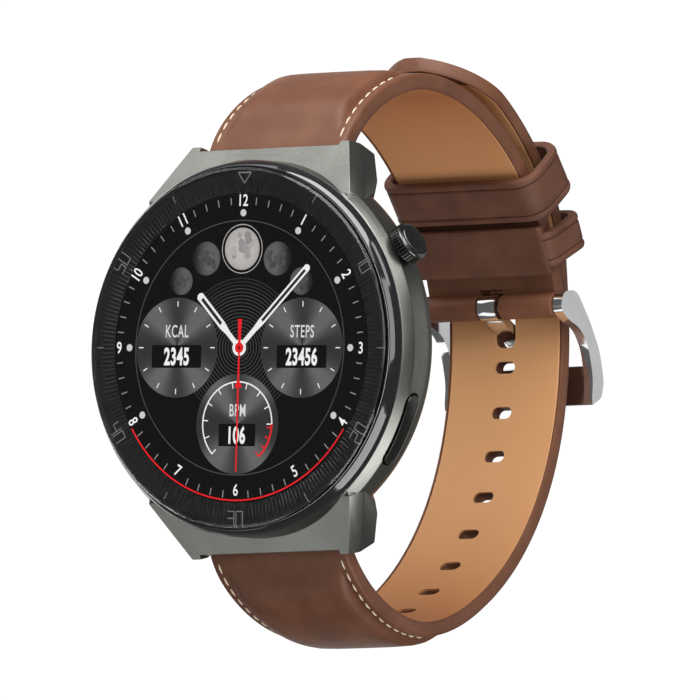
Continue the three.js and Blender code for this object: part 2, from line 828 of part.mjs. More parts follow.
// The slots for the tang, spaced evenly down the long strap from the one in use.
function holeTools() {
  const tools = [];
  const length = lowerSweep.getLength();
  const addHole = (fromEnd, holeLength) => {
    const along = 1 - fromEnd / length;
    const point = lowerSweep.getPointAt(along);
    const tangent = lowerSweep.getTangentAt(along);
    const slot = rectangle(holeLength / 2, 5);
    const tool = alongX(slot, -HOLE_WIDTH / 2, HOLE_WIDTH / 2);
    const turn = Math.atan2(tangent.y, tangent.x);
    tools.push(solid(tool.rotateX(turn).translate(0, point.x, point.y)));
  };
  addHole(USED_HOLE, USED_HOLE_LENGTH);
  for (let i = 0; i < FREE_HOLES; i += 1) addHole(FIRST_FREE_HOLE + i * HOLE_PITCH, HOLE_LENGTH);
  return tools;
}

function buildLongStrap() {
  const front = taper(LONG_BUCKLE_HALF, 0, TAIL_FROM_Y + 1).add(tailOutline());
  const padFront = taper(LONG_BUCKLE_HALF, PAD_INSET);
  const { tube, bore } = rootTube(-1);
  const holes = holeTools();
  const padRoot = curvePlaces(lowerRoot, 8, PAD_FROM, 1);
  const padSweep = curvePlaces(lowerSweep, 4, 0.02, 0.16);
  const padPlaces = flipped([...padRoot, ...padSweep]);
  const leather = joined(
    strapSheet(longRoute(0.02), LEATHER_START, LONG_THICKNESS, front),
    strapSheet(padPlaces, LINING + 0.4, padThickness(LONG_THICKNESS), padFront),
    tube,
  );
  add('lower_strap_leather', 'leather', geometryOf(cut(leather, bore, ...holes)));
  const lining = strapSheet(longRoute(LINING_FROM), 0, LINING, front);
  add('lower_strap_lining', 'lining', geometryOf(cut(lining, ...holes)));
}

// ---- keepers ----
// Moves a shape whose Y is the distance from the loop to its place round the loop.
function onLoop(geometry, degrees) {
  const { point, normal } = loopPlace(degrees);
  const out = new THREE.Vector3(0, normal.x, normal.y);
  const along = new THREE.Vector3().crossVectors(X, out);
  const turn = new THREE.Matrix4().makeBasis(X, out, along).setPosition(0, point.x, point.y);
  return geometry.applyMatrix4(turn);
}

function keeperBand(innerX, innerLow, innerHigh, length) {
  const middle = (innerLow + innerHigh) / 2;
  const innerHalf = (innerHigh - innerLow) / 2;
  const outer = roundedRectangle(innerX + KEEPER_WALL, innerHalf + KEEPER_WALL, 2.2, 4, middle);
  outer.holes.push(roundedRectangle(innerX, innerHalf, 0.5, 3, middle));
  return extruded(outer, length).translate(0, 0, -length / 2);
}

// The fixed keeper's ends are gathered under a patch on the strap's inner face.
function buildKeepers() {
  const stack = tailInner + TAIL_BULGE + LONG_THICKNESS;
  const fixedLow = -0.2;
  const patchThickness = KEEPER_WALL + 0.1;
  const patchY = fixedLow - patchThickness / 2;
  const band = keeperBand(KEEPER_INNER_HALF, fixedLow, stack + 0.1, FIXED_WRAP_LENGTH);
  const patch = box(2 * PATCH_HALF, patchThickness, PATCH_LENGTH, 0, patchY, 0);
  const fixedKeeper = geometryOf(joined(solid(band), solid(patch)));
  add('fixed_keeper', 'leather', onLoop(fixedKeeper, FIXED_KEEPER_ANGLE));
  const free = keeperBand(FREE_KEEPER_INNER_HALF, -0.35, stack + 0.55, KEEPER_LENGTH);
  add('free_keeper', 'leather', onLoop(free, FREE_KEEPER_ANGLE));
}

// ---- buckle ----
const FAR_EDGE = [[0.4, -47.1], [0.5, -48.3], [-1.4, -49.4], [-3.4, -48.9], [-4.5, -46.8], [-2.2, -47.5]];

function buildBuckle() {
  const armShape = outline([
    [PIN_Y + 1.6, PIN_Z + 0.8],
    [PIN_Y + 1.9, PIN_Z - 2.0],
    [5.6, -46.5],
    [2.2, -48.5],
    [-1.4, -49.4],
    [-3.4, -48.9],
    [-4.5, -46.8],
    [-1.2, -47.1],
    [2.4, -46.2],
    [4.6, -44.6],
    [PIN_Y - 1.7, PIN_Z - 0.2],
    [PIN_Y - 0.6, PIN_Z + 1.4],
  ]);
  const outerHalf = BUCKLE_INNER_HALF + BUCKLE_ARM;
  let frame = joined(
    solid(alongX(armShape, -outerHalf, -BUCKLE_INNER_HALF)),
    solid(alongX(armShape, BUCKLE_INNER_HALF, outerHalf)),
    solid(alongX(outline(FAR_EDGE), -outerHalf, outerHalf)),
  );
  const pinBore = solid(rodX(PIN_RADIUS + GAP, -outerHalf + 0.5, outerHalf - 0.5, PIN_Y, PIN_Z));
  const notchHalf = TANG_WIDTH / 2 + 0.3;
  const notch = solid(alongX(rectangle(2.6, 1.5, -0.2, -49.95), -notchHalf, notchHalf));
  frame = cut(frame, pinBore, notch);
  add('buckle_frame', 'steel', geometryOf(frame));
  const pinHalf = outerHalf - 0.7;
  add('buckle_pin', 'steel', rodX(PIN_RADIUS, -pinHalf, pinHalf, PIN_Y, PIN_Z));
  const eyeOuter = 1.65;
  const half = TANG_THICKNESS / 2;
  const tangShape = outline([
    [PIN_Y - 0.9, PIN_Z - 0.9],
    [5.55, -44.2],
    [3.9, -47.2],
    [1.6, -49.3],
    [-1.6, -50.2],
    [-1.9, -49.75],
    [-1.5, -49.2 - half / 3],
    [1.2, -48.5],
    [3.1, -46.6],
    [4.5, -43.9],
    [PIN_Y - 1.6, PIN_Z],
  ]);
  const tang = joined(
    solid(rodX(eyeOuter, -TANG_WIDTH / 2, TANG_WIDTH / 2, PIN_Y, PIN_Z)),
    solid(alongX(tangShape, -TANG_WIDTH / 2, TANG_WIDTH / 2)),
  );
  const eye = solid(rodX(PIN_RADIUS + GAP, -20, 20, PIN_Y, PIN_Z));
  add('buckle_tang', 'steel', geometryOf(tang.subtract(eye)));
}

buildCase();
buildFront();
buildInside();
buildBack();
buildCrown();
buildButton();
buildSpringBars();
buildShortStrap();
buildLongStrap();
buildKeepers();
buildBuckle();

export default group;
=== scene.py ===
"""Looks of the smartwatch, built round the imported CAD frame. Lengths are millimetres unless a
name says otherwise, in the frame's own axes: +Z leaves the dial, +Y points to 12 o'clock and
+X to 3 o'clock."""
import math
import random

import bmesh
import bpy
from mathutils import Matrix, Vector


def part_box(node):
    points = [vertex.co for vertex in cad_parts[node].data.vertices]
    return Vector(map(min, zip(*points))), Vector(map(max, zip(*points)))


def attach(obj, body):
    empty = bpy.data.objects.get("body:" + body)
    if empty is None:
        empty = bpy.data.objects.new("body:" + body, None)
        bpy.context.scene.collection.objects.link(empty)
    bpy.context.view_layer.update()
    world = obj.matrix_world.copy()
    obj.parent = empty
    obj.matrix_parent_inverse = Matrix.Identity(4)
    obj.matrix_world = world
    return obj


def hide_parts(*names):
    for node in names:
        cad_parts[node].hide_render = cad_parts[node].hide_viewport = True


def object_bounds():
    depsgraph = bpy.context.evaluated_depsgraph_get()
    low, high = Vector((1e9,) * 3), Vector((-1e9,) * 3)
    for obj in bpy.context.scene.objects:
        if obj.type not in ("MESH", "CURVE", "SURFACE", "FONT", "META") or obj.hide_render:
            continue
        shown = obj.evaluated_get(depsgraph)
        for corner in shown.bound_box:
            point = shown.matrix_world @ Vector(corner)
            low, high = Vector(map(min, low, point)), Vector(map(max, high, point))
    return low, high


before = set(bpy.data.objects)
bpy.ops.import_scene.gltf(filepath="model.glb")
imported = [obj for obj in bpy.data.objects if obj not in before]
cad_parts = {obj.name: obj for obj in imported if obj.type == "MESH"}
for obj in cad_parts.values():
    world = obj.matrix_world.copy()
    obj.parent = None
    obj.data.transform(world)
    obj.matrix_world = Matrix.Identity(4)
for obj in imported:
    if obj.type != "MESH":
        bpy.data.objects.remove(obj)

cad_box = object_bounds()
MM = 0.001


def mm_box(node):
    low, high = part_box(node)
    return low / MM, high / MM


def mm_middle(node):
    low, high = mm_box(node)
    return (low + high) / 2


# ---- sizes from the frame
CASE_RADIUS = mm_box("case_body")[1].x
GLASS_RADIUS = mm_box("cover_glass")[1].x
GLASS_TOP = mm_box("cover_glass")[1].z
DIAL_RADIUS = mm_box("display_panel")[1].x
DIAL_Z = mm_box("display_panel")[1].z
RIM_RADIUS = mm_box("bezel_ring")[1].x
BAR = mm_middle("upper_bar_sleeve")
PIN = mm_middle("buckle_pin")
PIN_RADIUS = (mm_box("buckle_pin")[1].y - mm_box("buckle_pin")[0].y) / 2
BUCKLE_HALF = mm_box("buckle_frame")[1].x
TANG_HALF = mm_box("buckle_tang")[1].x
FLOOR_Z = cad_box[0].z / MM

CAMERA_AZIMUTH = 35.0  # degrees from the dial's normal towards 3 o'clock
CAMERA_TILT = -3.47  # degrees towards 12 o'clock
CAMERA_SCALE = 8.47  # picture elements for each millimetre at the dial
CAMERA_RIGHT = 12.80  # the picture's middle, in millimetres from the dial's middle
CAMERA_DOWN = 0.25
CAMERA_DISTANCE = 3000.0
CAMERA_CLIP = (0.05, 20.0)  # metres
FRAME_SIDE = 700
SENSOR = 36.0

LIGHT_STRENGTH = 0.12  # the white room's own light
# Name, direction as shares of the camera's (right, up, back), distance and width in metres, power.
# The wide lights are also the soft bands that the polished pieces mirror.
LIGHTS = [
    ("key", (-0.25, 1.2, 0.6), 0.45, 0.42, 3.4),
    ("front", (0.35, 0.3, 1.0), 0.6, 0.4, 1.4),
    ("low", (0.5, -1.0, 0.7), 0.5, 0.4, 1.9),
    ("upper_plate", (-0.61, 0.77, -0.17), 0.5, 0.3, 0.42),
    ("lower_plate", (-0.68, -0.74, 0.02), 0.5, 0.22, 0.17),
    ("lug_facets", (0.56, 0.69, 0.46), 0.5, 0.2, 0.4),
    ("side", (0.94, 0.0, -0.34), 0.5, 0.34, 0.17),
    ("far_side", (-0.33, 0.0, -0.94), 0.6, 0.6, 1.1),
]
FLOOR_SIDE = 3.0  # metres
FLOOR_GAP = 0.0002


# ---- camera, floor and light
def camera_axes():
    azimuth = math.radians(CAMERA_AZIMUTH)
    tilt = math.radians(CAMERA_TILT)
    back = Vector((
        math.sin(azimuth) * math.cos(tilt),
        math.sin(tilt),
        math.cos(azimuth) * math.cos(tilt),
    ))
    right = Vector((math.cos(azimuth), 0, -math.sin(azimuth)))
    up = back.cross(right)
    return right, up, back


def link(obj):
    bpy.context.scene.collection.objects.link(obj)
    return obj


def make_camera():
    right, up, back = camera_axes()
    middle = Vector((0, 0, DIAL_Z)) + right * CAMERA_RIGHT - up * CAMERA_DOWN
    data = bpy.data.cameras.new("camera")
    data.sensor_width = SENSOR
    data.lens = CAMERA_SCALE * CAMERA_DISTANCE / FRAME_SIDE * SENSOR
    data.clip_start, data.clip_end = CAMERA_CLIP
    camera = link(bpy.data.objects.new("camera", data))
    turn = Matrix((right, up, back)).transposed().to_4x4()
    camera.matrix_world = Matrix.Translation((middle + back * CAMERA_DISTANCE) * MM) @ turn
    bpy.context.scene.camera = camera


def area_light(name, direction, distance, width, power):
    data = bpy.data.lights.new(name, "AREA")
    data.energy = power
    data.size = width
    light = link(bpy.data.objects.new(name, data))
    away = direction.normalized()
    light.location = away * distance
    light.rotation_mode = "QUATERNION"
    light.rotation_quaternion = away.to_track_quat("Z", "Y")


def make_light():
    scene = bpy.context.scene
    scene.view_settings.view_transform = "Standard"
    scene.world = bpy.data.worlds.new("studio")
    scene.world.use_nodes = True
    background = scene.world.node_tree.nodes["Background"]
    background.inputs["Color"].default_value = (1, 1, 1, 1)
    background.inputs["Strength"].default_value = LIGHT_STRENGTH
    axes = camera_axes()
    for name, shares, distance, width, power in LIGHTS:
        direction = sum((axis * share for axis, share in zip(axes, shares)), Vector())
        area_light(name, direction, distance, width, power)


def make_floor():
    """A white ground that the camera sees and that neither lights nor mirrors in the watch."""
    z = FLOOR_Z * MM - FLOOR_GAP
    mesh = bpy.data.meshes.new("floor")
    mesh.from_pydata([(x, y, z) for x, y in oblong(FLOOR_SIDE, FLOOR_SIDE)], [], [(0, 1, 2, 3)])
    floor = link(bpy.data.objects.new("floor", mesh))
    white = Nodes("floor_white")
    white.fixed(Base_Color=(0.05, 0.05, 0.05, 1), Roughness=0.9, Specular_IOR_Level=0.0)
    white.fixed(Emission_Color=(1, 1, 1, 1), Emission_Strength=1.0)
    mesh.materials.append(white.material)
    floor.visible_diffuse = False
    floor.visible_glossy = False
    floor.visible_shadow = False


# ---- materials
# Heights over which the lining's colour turns from painted light, at the lower end, to painted shade, at
# the upper end.
LINING_PAINTED_LIGHT_Z = (-45.0, -20.0)


class Nodes:
    """A material's node tree with short calls."""

    def __init__(self, name):
        self.material = bpy.data.materials.new(name)
        self.material.use_nodes = True
        self.tree = self.material.node_tree
        self.shader = self.tree.nodes["Principled BSDF"]

    def new(self, kind, **values):
        node = self.tree.nodes.new(kind)
        for key, value in values.items():
            setattr(node, key, value)
        return node

    def link(self, source, target):
        self.tree.links.new(source, target)

    def fixed(self, **values):
        for key, value in values.items():
            self.shader.inputs[key.replace("_", " ")].default_value = value

    def place(self, scale=(1, 1, 1)):
        """Object coordinates in millimetres, stretched by scale."""
        coordinates = self.new("ShaderNodeTexCoord")
        mapping = self.new("ShaderNodeMapping")
        mapping.inputs["Scale"].default_value = [s / MM for s in scale]
        self.link(coordinates.outputs["Object"], mapping.inputs["Vector"])
        return mapping.outputs["Vector"]

    def turned_place(self, around, along):
        """Coordinates that are drawn out round +Z, as turning marks are."""
        coordinates = self.new("ShaderNodeTexCoord")
        parts = self.new("ShaderNodeSeparateXYZ")
        self.link(coordinates.outputs["Object"], parts.inputs["Vector"])
        x, y, z = (parts.outputs[axis] for axis in "XYZ")
        angle = self.math("ARCTAN2", y, x)
        square = self.math("ADD", self.math("MULTIPLY", x, x), self.math("MULTIPLY", y, y))
        radius = self.math("SQRT", square)
        join = self.new("ShaderNodeCombineXYZ")
        self.link(self.math("MULTIPLY", angle, around), join.inputs["X"])
        self.link(self.math("MULTIPLY", radius, along / MM), join.inputs["Y"])
        self.link(self.math("MULTIPLY", z, along / MM), join.inputs["Z"])
        return join.outputs["Vector"]

    def noise(self, vector, scale=1.0, detail=3.0, rough=0.55):
        node = self.new("ShaderNodeTexNoise")
        node.inputs["Scale"].default_value = scale
        node.inputs["Detail"].default_value = detail
        node.inputs["Roughness"].default_value = rough
        self.link(vector, node.inputs["Vector"])
        return node.outputs["Fac"]

    def cells(self, vector, scale):
        node = self.new("ShaderNodeTexVoronoi", feature="DISTANCE_TO_EDGE")
        node.inputs["Scale"].default_value = scale
        self.link(vector, node.inputs["Vector"])
        return node.outputs["Distance"]

    def ramp(self, value, stops):
        node = self.new("ShaderNodeValToRGB")
        elements = node.color_ramp.elements
        while len(elements) < len(stops):
            elements.new(0.5)
        for element, (position, colour) in zip(elements, stops):
            element.position = position
            element.color = (*colour, 1)
        self.link(value, node.inputs["Fac"])
        return node.outputs["Color"]

    def spread(self, value, low, high, from_low=0.0, from_high=1.0):
        node = self.new("ShaderNodeMapRange")
        node.inputs["From Min"].default_value = from_low
        node.inputs["From Max"].default_value = from_high
        node.inputs["To Min"].default_value = low
        node.inputs["To Max"].default_value = high
        self.link(value, node.inputs["Value"])
        return node.outputs["Result"]

    def math(self, operation, a, b=None):
        node = self.new("ShaderNodeMath", operation=operation)
        for socket, value in zip(node.inputs, (a, b)):
            if isinstance(value, (int, float)):
                socket.default_value = value
            elif value is not None:
                self.link(value, socket)
        return node.outputs["Value"]

    def mix(self, share, a, b):
        """a * (1 - share) + b * share, for two values."""
        return self.math("ADD", self.math("MULTIPLY", a, 1 - share), self.math("MULTIPLY", b, share))

    def bump(self, height, strength, depth):
        node = self.new("ShaderNodeBump")
        node.inputs["Strength"].default_value = strength
        node.inputs["Distance"].default_value = depth * MM
        self.link(height, node.inputs["Height"])
        self.link(node.outputs["Normal"], self.shader.inputs["Normal"])
        return node

    def colour(self, output):
        self.link(output, self.shader.inputs["Base Color"])

    def rough(self, output):
        self.link(output, self.shader.inputs["Roughness"])


def brushed_metal(name, dark, light, rough, turned=True, bump=0.05, soft_edge=0.0):
    """Fine brush lines round +Z, or along +X where the piece isn't turned."""
    n = Nodes(name)
    n.fixed(Metallic=1.0)
    streaks = n.noise(n.turned_place(3.0, 9.0) if turned else n.place((0.2, 9, 9)), 1.0, 4.0, 0.7)
    broad = n.noise(n.place((0.12, 0.12, 0.12)), 1.0, 2.0)
    n.colour(n.ramp(n.mix(0.4, streaks, broad), [(0.32, dark), (0.68, light)]))
    n.rough(n.spread(streaks, rough - 0.07, rough + 0.1))
    lines = n.bump(streaks, bump, 0.05)
    if soft_edge:
        edge = n.new("ShaderNodeBevel", samples=4)
        edge.inputs["Radius"].default_value = soft_edge * MM
        n.link(edge.outputs["Normal"], lines.inputs["Normal"])
    return n.material


def polished_metal(name, colour, rough=0.07):
    """Bright metal with faint smears and hairline marks."""
    n = Nodes(name)
    n.fixed(Metallic=1.0)
    smear = n.noise(n.place((0.4, 0.4, 0.4)), 1.0, 3.0)
    hair = n.noise(n.place((0.5, 14, 3)), 1.0, 2.0)
    n.colour(n.ramp(smear, [(0.25, [c * 0.86 for c in colour]), (0.75, colour)]))
    n.rough(n.spread(n.math("MULTIPLY", smear, hair), rough, rough + 0.12, 0.1, 0.5))
    n.bump(hair, 0.02, 0.02)
    return n.material


def leather(name, dark, mid, light, rough, grain, bump, shine):
    """Grained leather: small cells, fine pores and a slow change of colour."""
    n = Nodes(name)
    at = n.place()
    pores = n.noise(at, grain * 2.6, 4.0, 0.65)
    slow = n.noise(n.place((0.2, 0.2, 0.2)), 1.0, 4.0)
    n.colour(n.ramp(n.mix(0.3, slow, pores), [(0.34, dark), (0.5, mid), (0.68, light)]))
    n.rough(n.spread(pores, rough - 0.08, rough + 0.12))
    n.bump(n.math("ADD", n.cells(at, grain), n.math("MULTIPLY", pores, 0.6)), bump, 0.08)
    n.fixed(Specular_IOR_Level=shine)
    return n.material


def lining_leather(name, high, low):
    """Smooth tan leather with painted light and shade: paler low in the loop, by the buckle, where the
    loop's far end faces the light, and darker higher up towards the lugs. high is the painted lit tone and
    low the painted shaded tone.
    """
    n = Nodes(name)
    parts = n.new("ShaderNodeSeparateXYZ")
    n.link(n.place(), parts.inputs["Vector"])
    # Painted light and shade: 1 low in the loop, giving the lit tone, falling to 0 higher up, giving the
    # shaded tone.
    painted_light_share = n.spread(parts.outputs["Z"], 1.0, 0.0, *LINING_PAINTED_LIGHT_Z)
    slow = n.noise(n.place((0.15, 0.15, 0.15)), 1.0, 3.0)
    pores = n.noise(n.place(), 9.0, 4.0, 0.6)
    tone = n.math("ADD", n.mix(0.12, painted_light_share, slow), n.math("MULTIPLY", n.math("SUBTRACT", pores, 0.5), 0.12))
    n.colour(n.ramp(tone, [(0.0, low), (1.0, high)]))
    n.rough(n.spread(pores, 0.5, 0.68))
    n.bump(n.math("ADD", n.cells(n.place(), 7.0), pores), 0.1, 0.06)
    n.fixed(Specular_IOR_Level=0.25)
    return n.material


def plastic(name, colour, rough, grain=6.0, bump=0.1, **fixed):
    """A plain moulded surface with fine grit."""
    n = Nodes(name)
    grit = n.noise(n.place(), grain, 3.0)
    n.colour(n.ramp(grit, [(0.3, [c * 0.8 for c in colour]), (0.7, colour)]))
    n.rough(n.spread(grit, rough * 0.85, rough * 1.2))
    n.bump(grit, bump, 0.03)
    n.fixed(**fixed)
    return n.material


def clear_glass(name):
    """Clear glass with the faintest unevenness in its polish."""
    n = Nodes(name)
    n.fixed(Base_Color=(1, 1, 1, 1), Transmission_Weight=1.0, IOR=1.45)
    n.rough(n.spread(n.noise(n.place((0.5, 0.5, 0.5))), 0.0, 0.012))
    return n.material


def painted_light(name, strength, grain, speckle=3.0):
    """Part of the screen's picture, or print given a painted glow: its own light in the colours that the
    mesh carries.
    """
    n = Nodes(name)
    n.fixed(Base_Color=(0, 0, 0, 1), Roughness=0.2, Specular_IOR_Level=0.0, Emission_Strength=strength)
    paint = n.new("ShaderNodeVertexColor", layer_name="paint")
    shade = n.spread(n.noise(n.place(), speckle, 5.0, 0.6), 1 - grain, 1 + grain, 0.35, 0.65)
    scaled = n.new("ShaderNodeVectorMath", operation="SCALE")
    n.link(paint.outputs["Color"], scaled.inputs[0])
    n.link(shade, scaled.inputs["Scale"])
    n.link(scaled.outputs["Vector"], n.shader.inputs["Emission Color"])
    return n.material


TITANIUM = brushed_metal(
    "titanium", (0.15, 0.155, 0.14), (0.27, 0.275, 0.25), 0.33, soft_edge=0.12)
BUTTON_METAL = brushed_metal(
    "button_metal", (0.05, 0.05, 0.046), (0.13, 0.13, 0.12), 0.25, soft_edge=0.15)
STEEL = polished_metal("bright_steel", (0.86, 0.87, 0.88))
DARK_STEEL = brushed_metal(
    "dark_steel", (0.06, 0.06, 0.058), (0.17, 0.17, 0.165), 0.3, turned=False)
RING_STEEL = polished_metal("ring_steel", (0.16, 0.16, 0.155), rough=0.16)
BACK_STEEL = brushed_metal("back_metal", (0.30, 0.30, 0.29), (0.48, 0.48, 0.47), 0.3)
GLOSS = {"Coat_Weight": 1.0, "Coat_Roughness": 0.03}
BEZEL = plastic("polished_bezel", (0.012, 0.012, 0.013), rough=0.1, bump=0.01, **GLOSS)
SENSOR_GLASS = plastic("sensor_glass", (0.012, 0.012, 0.014), rough=0.1, bump=0.01, **GLOSS)
SEAL = plastic("seal", (0.02, 0.02, 0.02), rough=0.8, grain=10.0, bump=0.3)
INNER = plastic("inner_plastic", (0.03, 0.03, 0.034), rough=0.55)
RIBBED = plastic(
    "dial_ring", (0.010, 0.010, 0.011), rough=0.45, grain=8.0, bump=0.05, Specular_IOR_Level=0.3)
SCREEN = plastic(
    "display", (0.001, 0.001, 0.001), rough=0.12, grain=8.0, bump=0.0, Specular_IOR_Level=0.0)
BOARD = plastic("circuit_board", (0.02, 0.13, 0.05), rough=0.45, grain=1.5, bump=0.2)
CELL = brushed_metal("battery_foil", (0.45, 0.46, 0.47), (0.7, 0.71, 0.72), 0.4, turned=False)
GOLD = polished_metal("contact_gold", (0.9, 0.66, 0.3), rough=0.2)
GLASS = clear_glass("cover_glass")
LEATHER = leather(
    "strap_leather", (0.115, 0.043, 0.022), (0.14, 0.055, 0.029), (0.17, 0.07, 0.039),
    rough=0.45, grain=6.0, bump=0.2, shine=0.28)
# The lining's painted lit tone, then its painted shaded tone.
LINING = lining_leather("strap_lining", (0.64, 0.34, 0.155), (0.36, 0.13, 0.042))
EDGE = leather(
    "edge_paint", (0.135, 0.058, 0.036), (0.16, 0.072, 0.046), (0.19, 0.088, 0.057),
    rough=0.5, grain=8.0, bump=0.1, shine=0.3)
PEBBLED = leather(
    "folded_leather", (0.085, 0.033, 0.018), (0.11, 0.044, 0.026), (0.145, 0.061, 0.037),
    rough=0.55, grain=4.2, bump=0.5, shine=0.3)
THREAD = plastic("thread", (0.74, 0.62, 0.45), rough=0.75, grain=9.0, bump=0.5)
PICTURE = painted_light("dial_picture", 1.0, 0.04)
BRUSHED_PICTURE = painted_light("brushed_picture", 1.0, 0.18, speckle=2.0)
MOON_PICTURE = painted_light("moon_picture", 1.0, 0.6, speckle=1.3)
# Painted light: the outer ring's print glows, though the ring is no screen.
PRINT_PAINTED_GLOW = painted_light("dial_print_painted_glow", 0.85, 0.06)


# ---- mesh helpers
def smooth(obj, sharp):
    obj.data.validate()
    obj.data.shade_smooth()
    obj.data.set_sharp_from_angle(angle=math.radians(sharp))


def mesh_object(name, verts, faces, picks=None):
    """A mesh from millimetre points, with each face's material number."""
    mesh = bpy.data.meshes.new(name)
    mesh.from_pydata([tuple(Vector(v) * MM) for v in verts], [], [tuple(f) for f in faces])
    if picks is not None:
        mesh.polygons.foreach_set("material_index", picks)
    return link(bpy.data.objects.new(name, mesh))


def outward(obj):
    bm = bmesh.new()
    bm.from_mesh(obj.data)
    bmesh.ops.remove_doubles(bm, verts=bm.verts, dist=1e-8)
    bmesh.ops.recalc_face_normals(bm, faces=bm.faces)
    bm.to_mesh(obj.data)
    bm.free()
    return obj


def pick_all(obj, pick):
    """Gives every face of a mesh one material number."""
    obj.data.polygons.foreach_set("material_index", [pick] * len(obj.data.polygons))


def dress(obj, materials, body, nodes, slot, sharp=35):
    """Gives a finished mesh its materials and ties it to the frame."""
    obj.data.materials.clear()
    for material in materials:
        obj.data.materials.append(material)
    smooth(obj, sharp)
    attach(obj, body)
    if nodes:
        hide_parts(*nodes)
    return obj


def oblong(half_a, half_b, centre=(0.0, 0.0)):
    """The corners of a rectangle."""
    a, b = centre
    return [(a - half_a, b - half_b), (a + half_a, b - half_b),
            (a + half_a, b + half_b), (a - half_a, b + half_b)]


def around(radius, turn, z):
    """A point round +Z."""
    return (radius * math.cos(turn), radius * math.sin(turn), z)


def curved(a, b, c, t):
    """A point of the curve from a to c that b pulls towards itself."""
    return a * (1 - t) ** 2 + b * (2 * t * (1 - t)) + c * t * t


def grid(rows, close_rows=False, caps=False):
    """Quads between closed rows of points that all have one length."""
    count = len(rows[0])
    verts = [p for row in rows for p in row]
    faces = []
    for i in range(len(rows) if close_rows else len(rows) - 1):
        a, b = i * count, ((i + 1) % len(rows)) * count
        for j in range(count):
            k = (j + 1) % count
            faces.append((a + j, a + k, b + k, b + j))
    if caps:
        last = (len(rows) - 1) * count
        faces.append(tuple(reversed(range(count))))
        faces.append(tuple(last + j for j in range(count)))
    return verts, faces


def turned(profile, segments=256):
    """A surface of quads from [radius, z] points turned about +Z."""
    verts, faces, rings = [], [], []
    for radius, z in profile:
        if radius < 1e-9:
            rings.append([len(verts)])
            verts.append((0, 0, z))
            continue
        start = len(verts)
        verts += [around(radius, 2 * math.pi * i / segments, z) for i in range(segments)]
        rings.append(list(range(start, start + segments)))
    for a, b in zip(rings, rings[1:]):
        for i in range(segments):
            j = (i + 1) % segments
            if len(a) == 1 and len(b) > 1:
                faces.append((a[0], b[j], b[i]))
            elif len(b) == 1 and len(a) > 1:
                faces.append((a[i], a[j], b[0]))
            elif len(a) > 1:
                faces.append((a[i], a[j], b[j], b[i]))
    return verts, faces


def turned_solid(name, profile, segments=256):
    return outward(mesh_object(name, *turned(profile, segments)))


def cylinder(name, radius, low, high, segments=256):
    return turned_solid(name, [(0, low), (radius, low), (radius, high), (0, high)], segments)


def to_side(obj, degrees, height):
    """Moves a solid turned about +Z to a side control's place, with +Z turned outwards."""
    stand = Matrix.Rotation(math.pi / 2, 4, "Y")
    turn = Matrix.Rotation(math.radians(degrees), 4, "Z")
    obj.data.transform(Matrix.Translation((0, 0, height * MM)) @ turn @ stand)
    return obj


def rounded(points, radius, steps=4, closed=True):
    """The outline with each corner turned into a short curve."""
    out = []
    count = len(points)
    for i, p in enumerate(points):
        p = Vector(p)
        if not closed and i in (0, count - 1):
            out.append(p)
            continue
        before = Vector(points[i - 1]) - p
        after = Vector(points[(i + 1) % count]) - p
        reach = min(radius, before.length * 0.48, after.length * 0.48)
        a = p + before.normalized() * reach
        b = p + after.normalized() * reach
        out += [curved(a, p, b, k / steps) for k in range(steps + 1)]
    return [tuple(v) for v in out]


def prism(name, shape, axis, low, high):
    """A solid from an outline of (a, b) points that runs along one axis."""
    order = {"x": (2, 0, 1), "y": (0, 2, 1), "z": (0, 1, 2)}[axis]
    rows = [[[(a, b, c)[k] for k in order] for a, b in shape] for c in (low, high)]
    return outward(mesh_object(name, *grid(rows, caps=True)))


def rod_x(name, radius, low, high, y, z, segments=48):
    turns = [2 * math.pi * i / segments for i in range(segments)]
    ring = [(y + radius * math.cos(a), z + radius * math.sin(a)) for a in turns]
    return prism(name, ring, "x", low, high)


def apply_modifiers(obj):
    bpy.context.view_layer.update()
    graph = bpy.context.evaluated_depsgraph_get()
    made = bpy.data.meshes.new_from_object(obj.evaluated_get(graph))
    obj.modifiers.clear()
    obj.data = made


def boolean(base, tool, operation="DIFFERENCE"):
    modifier = base.modifiers.new("cut", "BOOLEAN")
    modifier.operation = operation
    modifier.solver = "EXACT"
    modifier.object = tool
    apply_modifiers(base)
    bpy.data.objects.remove(tool)


def bevel(obj, width, segments=3, angle=30):
    modifier = obj.modifiers.new("bevel", "BEVEL")
    modifier.width = width * MM
    modifier.segments = segments
    modifier.limit_method = "ANGLE"
    modifier.angle_limit = math.radians(angle)
    modifier.use_clamp_overlap = True
    apply_modifiers(obj)


def object_of(name, bm):
    mesh = bpy.data.meshes.new(name)
    bm.to_mesh(mesh)
    bm.free()
    return link(bpy.data.objects.new(name, mesh))


def joined(name, objects):
    """One object from several meshes, with their materials kept."""
    bm = bmesh.new()
    materials = []
    for obj in objects:
        start = len(bm.faces)
        bm.from_mesh(obj.data)
        bm.faces.ensure_lookup_table()
        for face in bm.faces[start:]:
            material = obj.data.materials[face.material_index]
            if material not in materials:
                materials.append(material)
            face.material_index = materials.index(material)
    made = object_of(name, bm)
    for obj in objects:
        bpy.data.objects.remove(obj)
    for material in materials:
        made.data.materials.append(material)
    return made


